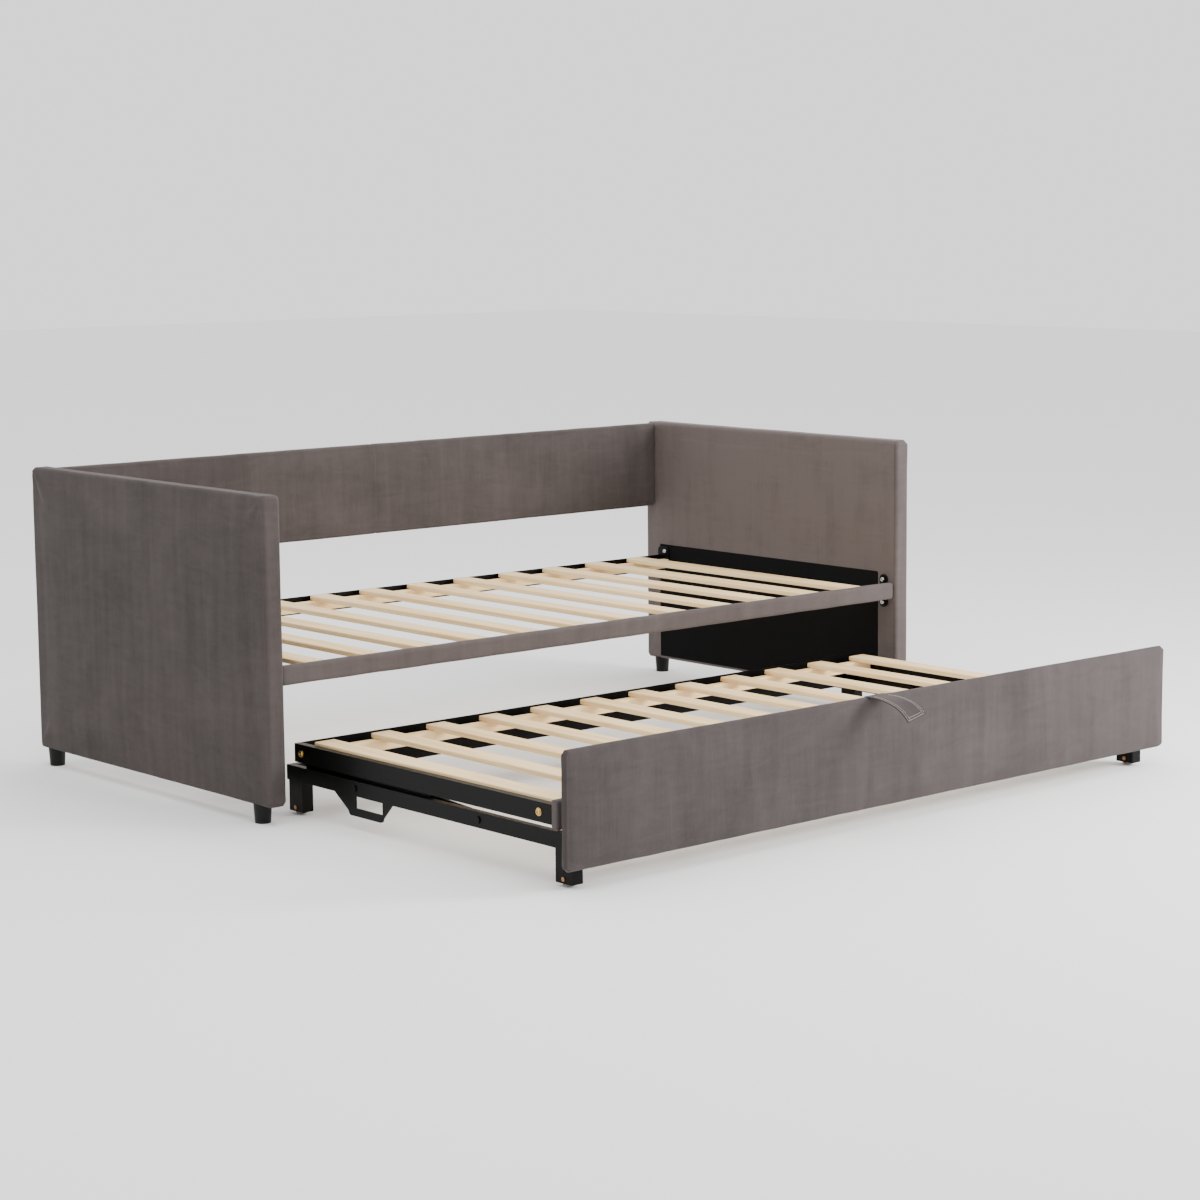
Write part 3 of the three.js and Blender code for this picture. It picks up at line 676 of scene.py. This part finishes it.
class DAYBED_OT_stage(bpy.types.Operator):
    """Camera, studio light and the pale floor"""

    bl_idname = "daybed.stage"
    bl_label = "Stage"

    def execute(self, context):
        stage = settings("daybed_stage")
        deselect()
        bpy.ops.mesh.primitive_plane_add(size=40, location=(0, 4, 0))
        floor = settle(bpy.context.object, "floor")
        f = Finish("studio_floor")
        mottle = f.noise(f.place(), 0.6, 3)
        colour = f.blend(mottle, stage.floor, [c * 0.985 for c in stage.floor])
        floor.data.materials.append(f.surface(colour, 0.85 + mottle * 0.05))
        floor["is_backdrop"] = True

        world = bpy.data.worlds.new("studio")
        context.scene.world = world
        world.use_nodes = True
        background = world.node_tree.nodes["Background"]
        background.inputs["Color"].default_value = (1, 1, 1, 1)
        background.inputs["Strength"].default_value = stage.sky

        self.light("key", (2.4, -3.3, 1.6), (0.3, -0.3, 0.3), 1.6, stage.key_power)
        self.light("top", (-0.6, -0.8, 5.2), (0, 0, 0), 5.0, stage.top_power)

        data = bpy.data.cameras.new("camera")
        data.lens = LENS
        data.shift_x, data.shift_y = SHIFT
        data.clip_end = 100
        camera = bpy.data.objects.new("camera", data)
        dip = Matrix.Rotation(math.pi / 2 - CAMERA_DIP, 4, "X")
        turn = Matrix.Rotation(CAMERA_HEADING, 4, "Z") @ dip
        roll = Matrix.Rotation(CAMERA_ROLL, 4, "Z")
        arm_low, arm_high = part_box("left_arm_cover")
        place = (CAMERA_X, (arm_low.y + arm_high.y) / 2 - CAMERA_BEFORE_ARMS, CAMERA_HEIGHT)
        camera.matrix_world = Matrix.Translation(place) @ turn @ roll
        context.collection.objects.link(camera)
        context.scene.camera = camera
        return {"FINISHED"}

    def light(self, name, place, target, size, power):
        data = bpy.data.lights.new(name, "AREA")
        data.shape = "DISK"
        data.size = size
        data.energy = power
        lamp = bpy.data.objects.new(name, data)
        aim = (Vector(target) - Vector(place)).to_track_quat("-Z", "Y")
        lamp.matrix_world = Matrix.Translation(place) @ aim.to_matrix().to_4x4()
        bpy.context.collection.objects.link(lamp)


class DAYBED_OT_arms(bpy.types.Operator):
    """Padded velvet arms, pulled tight over their boards, with a dust cover on each inner face"""

    bl_idname = "daybed.arms"
    bl_label = "Arms"

    def execute(self, context):
        cloth = settings("daybed_upholstery")
        for side, sign in SIDES.items():
            low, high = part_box(f"{side}_arm_cover")
            lining_low, lining_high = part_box(f"{side}_arm_lining")
            inset = Vector((0.0008, -0.0022, -0.0022))

            def held(co, low=low, high=high):
                return abs(co.x - (low.x + high.x) / 2) < 0.004

            box = (low + inset, high - inset)
            name = f"{side}_arm_velvet"
            arm = padded_slab(name, box, cloth.arm_edge, cloth.voxel, ARM_CAP, held)
            work_over(arm, self.tailor(sign, low, high, lining_low, lining_high))
            # Painted light and shade: the right arm's velvet is brightened as a whole, the left
            # arm's outer face darkened, and each arm's front face gets its own painted tone.
            lay, front_painted_tone, painted_light_gain = (0.44, 0.1, 1.32) if sign > 0 else (-0.08, 0.06, 1.0)
            edge = (low.y + 0.007, front_painted_tone)
            cover = finish(f"velvet_{side}", lambda n: velvet(n, lay, edge=edge, painted_light_gain=painted_light_gain))
            hand_over(arm, "daybed", cover, [f"{side}_arm_cover"])
            self.lining(side, sign, lining_low, lining_high, low if sign > 0 else high)
        return {"FINISHED"}

    def tailor(self, sign, low, high, lining_low, lining_high):
        """Puckers at the corners, and the cloth pressed in under its lining."""
        inner_x = low.x if sign > 0 else high.x
        amount = settings("daybed_upholstery").waviness
        corners = [Vector((0, y, z)) for y in (low.y, high.y) for z in (low.z, high.z)]

        def shape(co):
            away = outward(co, low, high)
            move = unevenness(co, amount)
            for corner in corners:
                offset = Vector((0, co.y - corner.y, co.z - corner.z))
                reach = offset.length
                if reach < PUCKER_REACH:
                    angle = math.atan2(offset.z, offset.y)
                    fold = crease(reach - 0.03, 0.035, 0.0007)
                    move += fold * math.cos(angle * 11 + co.x * 90)
            co = co + away * move
            under = min(co.y - lining_low.y, lining_high.y - co.y)
            under = min(under, co.z - lining_low.z + LINING_TUCK, lining_high.z - co.z)
            if (co.x - inner_x) * sign < 0.012:
                floor_x = inner_x + sign * (0.0014 if under > 0 else 0.0001)
                if (co.x - floor_x) * sign < 0:
                    co.x = floor_x
            return co

        return shape

    def lining(self, side, sign, low, high, cover_low):
        """A stretched sheet of black nonwoven, stapled round its edge."""
        size = (high.y - low.y, high.z - low.z)
        middle = (low + high) / 2
        middle.x = cover_low.x + sign * 0.0006
        turn = (math.pi / 2, 0, sign * -math.pi / 2)
        sheet = flat_sheet(f"{side}_arm_dust_cover", (88, 34), size, middle, turn)

        def shape(co):
            inside = min(co.y - low.y, high.y - co.y, co.z - low.z, high.z - co.z)
            slack = min(1.0, inside / 0.02)
            ripple = noise.noise(Vector((0, co.y * 9, co.z * 16))) * 0.0005
            pull = math.cos((co.y - middle.y) * 125) * 0.0003 * math.exp(-inside / 0.03)
            co.x += -sign * (0.0003 + slack * (ripple + pull))
            return co

        work_over(sheet, shape)
        black = finish("nonwoven", lining_cloth)
        hand_over(sheet, "daybed", black, [f"{side}_arm_lining"])


class DAYBED_OT_back(bpy.types.Operator):
    """The padded back panel with its join in the cloth"""

    bl_idname = "daybed.back"
    bl_label = "Back panel"

    def execute(self, context):
        cloth = settings("daybed_upholstery")
        low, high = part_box("back_panel")
        seam_x = (low.x + high.x) / 2 - 0.024
        inset = Vector((0.0005, 0.0015, -0.0015))
        box = (low + inset, high - inset)
        edge = cloth.rail_edge * 1.4
        panel = padded_slab("back_velvet", box, edge, cloth.voxel * 0.85, BACK_CAP)

        def shape(co):
            away = outward(co, low, high)
            move = unevenness(co, cloth.waviness)
            move -= crease(co.x - seam_x, 0.0035, 0.0011)
            slant = (co.x - seam_x - 0.144) - (high.z - co.z) * 0.52
            if co.z > high.z - 0.11:
                move -= crease(slant, 0.005, 0.0008)
            move += 0.00015 * math.cos(co.x * 44) * math.exp(-(high.z - co.z) / 0.03)
            co = co + away * move
            co.x = min(max(co.x, low.x), high.x)
            return co

        work_over(panel, shape)
        # Painted light: the back's velvet brightens towards its right end (+x).
        cover = finish("velvet_back", lambda n: velvet(n, 0.04, 0.06))
        hand_over(panel, "daybed", cover, ["back_panel"])
        return {"FINISHED"}


class DAYBED_OT_rails(bpy.types.Operator):
    """The slim upholstered rails, one before the daybed's slats and one before the trundle's"""

    bl_idname = "daybed.rails"
    bl_label = "Upholstered rails"

    def execute(self, context):
        cloth = settings("daybed_upholstery")
        for node, body in (("front_rail_cover", "daybed"), ("deck_front_rail", "deck")):
            low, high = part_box(node)
            inset = Vector((0.0003, 0.0008, 0.0003))
            box = (low + inset, high - inset)
            cell = cloth.voxel * 0.62
            rail = padded_slab(f"{node}_velvet", box, cloth.rail_edge, cell, RAIL_CAP)

            def shape(co, low=low, high=high):
                move = unevenness(co, cloth.waviness * 0.6) + 0.0003 * math.sin(co.x * 37)
                co = co + outward(co, low, high) * move
                co.x = min(max(co.x, low.x), high.x)
                co.y = min(max(co.y, low.y), high.y)
                return co

            work_over(rail, shape)
            cover = finish("velvet_rails", lambda n: velvet(n, 0.35))
            hand_over(rail, body, cover, [node])
        return {"FINISHED"}


class DAYBED_OT_front_panel(bpy.types.Operator):
    """The trundle's padded front, its dust cover and the two blocks that hold it"""

    bl_idname = "daybed.front_panel"
    bl_label = "Front panel"

    def execute(self, context):
        cloth = settings("daybed_upholstery")
        low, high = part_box("front_panel")
        rail_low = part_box("deck_front_rail")[0]
        rear_y = low.y + PANEL_THICKNESS
        face_high = Vector((high.x, rear_y, high.z))
        inset = Vector((0.0004, 0.001, 0.0004))
        box = (low + inset, face_high - inset)
        cell = cloth.voxel * 0.8
        panel = padded_slab("front_panel_velvet", box, cloth.rail_edge, cell, PANEL_CAP)
        strap_low, strap_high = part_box("pull_strap")
        strap_x = (strap_low.x + strap_high.x) / 2

        def shape(co):
            move = unevenness(co, cloth.waviness)
            tug = Vector((co.x - strap_x, 0, co.z - high.z)).length
            if co.z > high.z - 0.14 and abs(co.x - strap_x) < 0.2:
                move -= 0.0008 * math.cos((co.x - strap_x) * 95) * math.exp(-tug / 0.06)
            move += 0.00015 * math.cos(co.x * 52) * math.exp(-(co.z - low.z) / 0.025)
            co = co + outward(co, low, face_high) * move
            co.y = min(co.y, rear_y)
            return co

        work_over(panel, shape)
        # Painted light: the panel's velvet brightens towards its right end (+x), as under the key
        # light.
        cover = finish("velvet_panel", lambda n: velvet(n, 0.05, 0.11))
        hand_over(panel, "deck", cover, ["front_panel"])

        blocks = []
        for x in (-BLOCK_X, BLOCK_X):
            near = (x - BLOCK_HALF, rear_y - 0.002, BLOCK_LOW)
            far = (x + BLOCK_HALF, rail_low.y - 0.0003, BLOCK_HIGH)
            blocks.append(block("mounting_block", near, far, 0.002))
        timbers = joined("front_panel_blocks", blocks)
        pine = finish("pine_along_x", lambda n: timber(n, "X"))
        hand_over(timbers, "deck", pine, angle=40)
        self.lining(low, rear_y, high)
        return {"FINISHED"}

    def lining(self, low, rear_y, high):
        size = (high.x - low.x - 2 * PANEL_HEM, high.z - low.z - 2 * PANEL_HEM)
        middle = (0, rear_y + 0.0008, (low.z + high.z) / 2)
        turn = (math.pi / 2, 0, math.pi)
        sheet = flat_sheet("front_panel_dust_cover", (150, 24), size, middle, turn)

        def shape(co):
            co.y += noise.noise(Vector((co.x * 9, 0, co.z * 16))) * 0.0004
            return co

        work_over(sheet, shape)
        hand_over(sheet, "deck", finish("nonwoven", lining_cloth))


class DAYBED_OT_strap(bpy.types.Operator):
    """The folded velvet strap that pulls the trundle out, with two rows of stitching"""

    bl_idname = "daybed.strap"
    bl_label = "Pull strap"

    def execute(self, context):
        low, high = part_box("pull_strap")
        self.low, self.high = low, high
        self.path = self.run(low, high)
        self.length = self.path[-1][0]
        strap = flat_sheet("pull_strap_velvet", (36, 44))
        work_over(strap, lambda co: self.lay(co.x, co.y + 0.5, 0.0))
        thick = strap.modifiers.new("Thickness", "SOLIDIFY")
        thick.thickness = STRAP_THICKNESS
        thick.offset = 0
        thick.use_even_offset = True
        bpy.ops.object.modifier_apply(modifier="Thickness")
        soft = strap.modifiers.new("Subdivision", "SUBSURF")
        soft.levels = soft.render_levels = 2
        bpy.ops.object.modifier_apply(modifier="Subdivision")
        make_active(strap)
        bpy.ops.object.mode_set(mode="EDIT")
        bpy.ops.mesh.select_all(action="SELECT")
        bpy.ops.mesh.normals_make_consistent(inside=False)
        bpy.ops.object.mode_set(mode="OBJECT")
        cover = finish("velvet_strap", lambda n: velvet(n, -0.12))
        hand_over(strap, "deck", cover, ["pull_strap"])
        stitches = self.stitching()
        return {"FINISHED"}

    def run(self, low, high):
        """Distances along the strap's middle, each with its y and z, from the panel's top down."""
        reach = high.y - low.y - STRAP_BEND
        points = [
            (high.y, high.z - 0.0040),
            (low.y + reach * 0.58, high.z - 0.0004),
            (low.y + reach * 0.22, high.z - 0.0095),
            (low.y + 0.0018, low.z + 0.0024),
        ]
        path = []
        total = 0.0
        last = None
        for i in range(PATH_STEPS + 1):
            t = i / PATH_STEPS
            weights = ((1 - t) ** 3, 3 * t * (1 - t) ** 2, 3 * t * t * (1 - t), t**3)
            y = sum(w * p[0] for w, p in zip(weights, points))
            z = sum(w * p[1] for w, p in zip(weights, points))
            if last:
                total += math.dist(last, (y, z))
            last = (y, z)
            path.append((total, y, z))
        return path

    def lay(self, across, along, lift):
        """A point of the strap: across from -0.5 to 0.5, along from 0 to 1, lift off its middle."""
        want = along * self.length
        index = 1
        while index < len(self.path) - 1 and self.path[index][0] < want:
            index += 1
        before, after = self.path[index - 1], self.path[index]
        share = (want - before[0]) / max(after[0] - before[0], 1e-9)
        y = before[1] + (after[1] - before[1]) * share
        z = before[2] + (after[2] - before[2]) * share
        tangent = Vector((0, after[1] - before[1], after[2] - before[2])).normalized()
        normal = Vector((0, tangent.z, -tangent.y))
        if normal.y > 0 or normal.z < -0.5:
            normal = -normal
        width = self.high.x - self.low.x
        x = (self.low.x + self.high.x) / 2 + across * (width - 0.0015)
        free = max(0.0, along - 0.2)
        sag = -0.0016 * free * (1 - (2 * across) ** 2)
        sag += 0.0008 * noise.noise(Vector((x * 28, y * 22, z * 22)))
        edge = 0.0006 * math.exp(-((abs(across) - 0.43) ** 2) / 0.0006)
        twist = Vector((0, 0, 0.014 * (across - 0.1) * along * along))
        return Vector((x, y, z)) + normal * (lift + sag - edge) + twist

    def stitching(self):
        """Two rows of thread along the sides and across the lower end."""
        width = self.high.x - self.low.x
        pitch = STITCH_PITCH
        places = []
        rows = int(self.length / pitch)
        for margin in STITCH_ROWS:
            across = 0.5 - margin / width
            for i in range(2, rows - 1):
                start = i * pitch / self.length
                end = (i + STITCH_SHARE) * pitch / self.length
                for side in (-across, across):
                    places.append(((side, start), (side, end)))
            along = 1 - margin / self.length
            columns = int((width - 2 * margin) / pitch)
            for i in range(columns):
                start = (-0.5 * (width - 2 * margin) + i * pitch) / width
                places.append(((start, along), (start + STITCH_SHARE * pitch / width, along)))
        pattern = rod("stitch", 6, STITCH_RADIUS, 1)
        made = []
        for start, end in places:
            first = self.lay(*start, STITCH_LIFT)
            last = self.lay(*end, STITCH_LIFT)
            run = last - first
            twin = copy_of(pattern, "stitch", (0, 0, 0))
            turn = run.to_track_quat("Z", "X").to_matrix().to_4x4()
            grow = Matrix.Diagonal((1, 1, run.length, 1))
            twin.data.transform(Matrix.Translation((first + last) / 2) @ turn @ grow)
            made.append(twin)
        bpy.data.objects.remove(pattern)
        stitches = joined("pull_strap_stitches", made)
        hand_over(stitches, "deck", finish("thread", thread), angle=50)
        return stitches


class DAYBED_OT_timber(bpy.types.Operator):
    """Pine slats and battens, and the staples that hold them"""

    bl_idname = "daybed.timber"
    bl_label = "Slats and battens"

    def execute(self, context):
        lengthwise = finish("pine_along_x", lambda n: timber(n, "X"))
        crosswise = finish("pine_along_y", lambda n: timber(n, "Y"))
        board = finish("board_plywood", plywood)
        for node in NODES:
            if "_slat_" in node:
                dress(node, crosswise)
            elif node.endswith("_batten"):
                dress(node, lengthwise)
            elif node.endswith("_arm_board"):
                dress(node, board)
        for deck, body in (("daybed", "daybed"), ("trundle", "deck")):
            self.staples(deck, body)
        return {"FINISHED"}

    def staples(self, deck, body):
        """Two crowned staples through each end of each slat into its batten."""
        pattern = block("staple", (-0.0055, -0.0006, -0.0002), (0.0055, 0.0006, 0.0005), 0.0002, 1)
        made = []
        for node in sorted(NODES):
            if not node.startswith(f"{deck}_slat_"):
                continue
            low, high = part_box(node)
            for end in ("rear", "front"):
                batten_low, batten_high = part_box(f"{deck}_{end}_batten")
                y = (batten_low.y + batten_high.y) / 2
                for across in (0.28, 0.72):
                    x = low.x + (high.x - low.x) * across
                    skew = noise.noise(Vector((x * 31, y * 17, 0)))
                    twin = copy_of(pattern, "staple", (0, 0, 0))
                    turn = Matrix.Rotation(skew * 1.2, 4, "Z")
                    twin.data.transform(Matrix.Translation((x, y + skew * 0.006, high.z)) @ turn)
                    made.append(twin)
        bpy.data.objects.remove(pattern)
        staples = joined(f"{deck}_staples", made)
        hand_over(staples, body, finish("zinc", zinc), angle=40)


class DAYBED_OT_steel(bpy.types.Operator):
    """Powder-coated frames, with their weld beads"""

    bl_idname = "daybed.steel"
    bl_label = "Steel frames"

    def execute(self, context):
        coat = finish("powder_coat", powder_coat)
        for part in frame["record"]["subparts"]:
            if part["material_slot"] == "black_steel":
                dress(part["node"], coat)
        self.welds(coat)
        return {"FINISHED"}

    def bead(self, start, end):
        """A run of weld along a straight joint, rippled like stacked coins."""
        start, end = Vector(start), Vector(end)
        run = end - start
        steps = max(4, int(run.length / BEAD_PITCH))
        made = rod("bead", 8, BEAD_RADIUS, run.length)
        bpy.ops.object.mode_set(mode="EDIT")
        for i in range(1, steps):
            bpy.ops.mesh.select_all(action="SELECT")
            z = -run.length / 2 + run.length * i / steps
            bpy.ops.mesh.bisect(plane_co=(0, 0, z), plane_no=(0, 0, 1))
        bpy.ops.object.mode_set(mode="OBJECT")
        for vertex in made.data.vertices:
            swell = 1.0 + 0.22 * math.cos(vertex.co.z / run.length * steps * math.pi)
            vertex.co.x *= swell
            vertex.co.y *= swell
        turn = run.to_track_quat("Z", "X").to_matrix().to_4x4()
        made.data.transform(Matrix.Translation((start + end) / 2) @ turn)
        return made

    def welds(self, coat):
        beads = []
        for side, sign in SIDES.items():
            low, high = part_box(f"carriage_{side}_frame")
            x = (low.x if sign > 0 else high.x) + sign * RAIL_SETBACK
            z = high.z - RAIL_HEIGHT
            for y in (low.y + 0.002, high.y - 0.008):
                leg_low = y if y < (low.y + high.y) / 2 else y - LEG_DEPTH
                beads.append(self.bead((x, leg_low + 0.004, z), (x, leg_low + 0.046, z)))
            for rail in ("rear", "front"):
                cross_low, cross_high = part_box(f"carriage_{rail}_rail")
                foot, head = cross_low.z + 0.003, cross_high.z - 0.002
                for y in (cross_low.y, cross_high.y):
                    if low.y + 0.003 < y < high.y - 0.003:
                        beads.append(self.bead((x, y, foot), (x, y, head)))
        welds = joined("carriage_welds", beads)
        hand_over(welds, "carriage", coat, angle=60)


class DAYBED_OT_hardware(bpy.types.Operator):
    """Bolts with their washers, and the rear catch brackets"""

    bl_idname = "daybed.hardware"
    bl_label = "Bolts and brackets"

    def execute(self, context):
        coat = finish("powder_coat", powder_coat)
        plate_low, plate_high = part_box("front_rail")
        rear_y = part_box("rear_rail")[0].y + BOLT_INSET
        heads = []
        washers = []
        for sign in SIDES.values():
            x = sign * (plate_high.x - PLATE_THICKNESS)
            for y in (plate_low.y + 0.013, rear_y):
                for z in (plate_low.z + BOLT_INSET, plate_high.z - BOLT_INSET):
                    heads.append(self.head((x - sign * 0.0018, y, z), -sign, *DAYBED_HEAD))
                    washers.append(self.washer((x, y, z), -sign, *DAYBED_WASHER))
        self.fit("daybed_bolts", heads, "daybed", finish("zinc", zinc))
        self.fit("daybed_washers", washers, "daybed", coat)

        yellow = finish("brass", brass)
        heads = []
        washers = []
        for side, sign in SIDES.items():
            low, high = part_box(f"deck_{side}_rail")
            x = sign * max(abs(low.x), abs(high.x))
            z = high.z - 0.021
            for y in (high.y - 0.0264, low.y + 0.0386):
                heads.append(self.head((x + sign * 0.0011, y, z), sign, *DECK_HEAD))
                washers.append(self.washer((x, y, z), sign, *DECK_WASHER))
        self.fit("deck_bolts", heads, "deck", yellow)
        self.fit("deck_washers", washers, "deck", yellow)
        self.catch_brackets(coat)
        return {"FINISHED"}

    def fit(self, name, made, body, material, angle=35):
        hand_over(joined(name, made), body, material, angle=angle)

    def turned(self, made, place, way):
        """The piece at its place, with its top facing this way along x."""
        turn = Vector((way, 0, 0)).to_track_quat("Z", "Y").to_matrix().to_4x4()
        made.data.transform(Matrix.Translation(place) @ turn)
        return made

    def head(self, place, way, radius, height):
        """A domed bolt head with a socket in it."""
        made = rod("bolt_head", 24, radius, height, (0, 0, height / 2))
        select_faces(made, lambda centre, normal: normal.z > 0.9)
        bpy.ops.mesh.bevel(offset=radius * 0.32, segments=3)
        select_faces(made, lambda centre, normal: normal.z > 0.99 and centre.z > height * 0.98)
        bpy.ops.mesh.inset(thickness=radius * 0.2)
        socket = (0, 0, -height * 0.6)
        bpy.ops.mesh.extrude_region_move(TRANSFORM_OT_translate={"value": socket})
        bpy.ops.object.mode_set(mode="OBJECT")
        return self.turned(made, place, way)

    def washer(self, place, way, radius, height):
        made = rod("washer", 28, radius, height, (0, 0, height / 2))
        select_faces(made, lambda centre, normal: normal.z > 0.9)
        bpy.ops.mesh.bevel(offset=height * 0.3, segments=2)
        bpy.ops.object.mode_set(mode="OBJECT")
        return self.turned(made, place, way)

    def catch_brackets(self, coat):
        """A folded plate with a pin behind each rear leg, to stop the trundle at full reach."""
        plates = []
        pins = []
        for side, sign in SIDES.items():
            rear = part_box(f"carriage_{side}_frame")[1].y
            x0, x1 = sorted(sign * x for x in BRACKET_X)
            near = (x0, rear - 0.0002, 0.079)
            plates.append(block("plate", near, (x1, rear + 0.003, 0.108), 0.0008))
            for x in (x1 - BRACKET_FLANGE, x0):
                far = (x + BRACKET_FLANGE, rear + 0.012, 0.106)
                plates.append(block("plate", (x, rear + 0.002, 0.081), far, 0.0008))
            middle = ((x0 + x1) / 2, rear + 0.0075, 0.0935)
            pins.append(rod("pin", 20, 0.0035, x1 - x0, middle, (0, math.pi / 2, 0)))
        self.fit("carriage_catch_brackets", plates, "carriage", coat, 40)
        self.fit("carriage_catch_pins", pins, "carriage", finish("zinc", zinc), 40)


class DAYBED_OT_feet_and_wheels(bpy.types.Operator):
    """Moulded feet under the arms and the wheels in the trundle's legs"""

    bl_idname = "daybed.feet_and_wheels"
    bl_label = "Feet and wheels"

    def execute(self, context):
        plastic = finish("moulded_plastic", moulded_plastic)
        wheel = finish("wheel_and_rivet", wheel_finish)
        for node in NODES:
            if node.startswith("foot_"):
                dress(node, plastic)
            elif node.startswith("wheel_"):
                dress(node, wheel)
        return {"FINISHED"}


class DAYBED_PT_builder(bpy.types.Panel):
    """Lists the steps that build the bed"""

    bl_label = "Daybed and trundle"
    bl_idname = "DAYBED_PT_builder"
    bl_space_type = "VIEW_3D"
    bl_region_type = "UI"
    bl_category = "Daybed"

    def draw(self, context):
        for step in STEPS:
            self.layout.operator(step.bl_idname)
        for group in GROUPS:
            values = settings(group)
            for name in values.__annotations__:
                self.layout.prop(values, name)


GROUPS = {
    "daybed_upholstery": DaybedUpholstery,
    "daybed_timber": DaybedTimber,
    "daybed_metal": DaybedMetal,
    "daybed_stage": DaybedStage,
}
STEPS = (
    DAYBED_OT_stage,
    DAYBED_OT_arms,
    DAYBED_OT_back,
    DAYBED_OT_rails,
    DAYBED_OT_front_panel,
    DAYBED_OT_strap,
    DAYBED_OT_timber,
    DAYBED_OT_steel,
    DAYBED_OT_hardware,
    DAYBED_OT_feet_and_wheels,
)


def register():
    for group in GROUPS.values():
        bpy.utils.register_class(group)
    for step in STEPS:
        bpy.utils.register_class(step)
    bpy.utils.register_class(DAYBED_PT_builder)
    for name, group in GROUPS.items():
        setattr(bpy.types.Scene, name, bpy.props.PointerProperty(type=group))


def unregister():
    for name in GROUPS:
        delattr(bpy.types.Scene, name)
    bpy.utils.unregister_class(DAYBED_PT_builder)
    for step in reversed(STEPS):
        bpy.utils.unregister_class(step)
    for group in reversed(GROUPS.values()):
        bpy.utils.unregister_class(group)


def corners(box):
    return [[float(value) for value in corner] for corner in box]


def main():
    cad_box = corners(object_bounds())
    register()
    for step in STEPS:
        name = step.bl_idname.split(".")[1]
        getattr(bpy.ops.daybed, name)()
    bpy.context.view_layer.update()
    {"cad": cad_box, "visual": corners(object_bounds())}


if __name__ == "__main__":
    main()
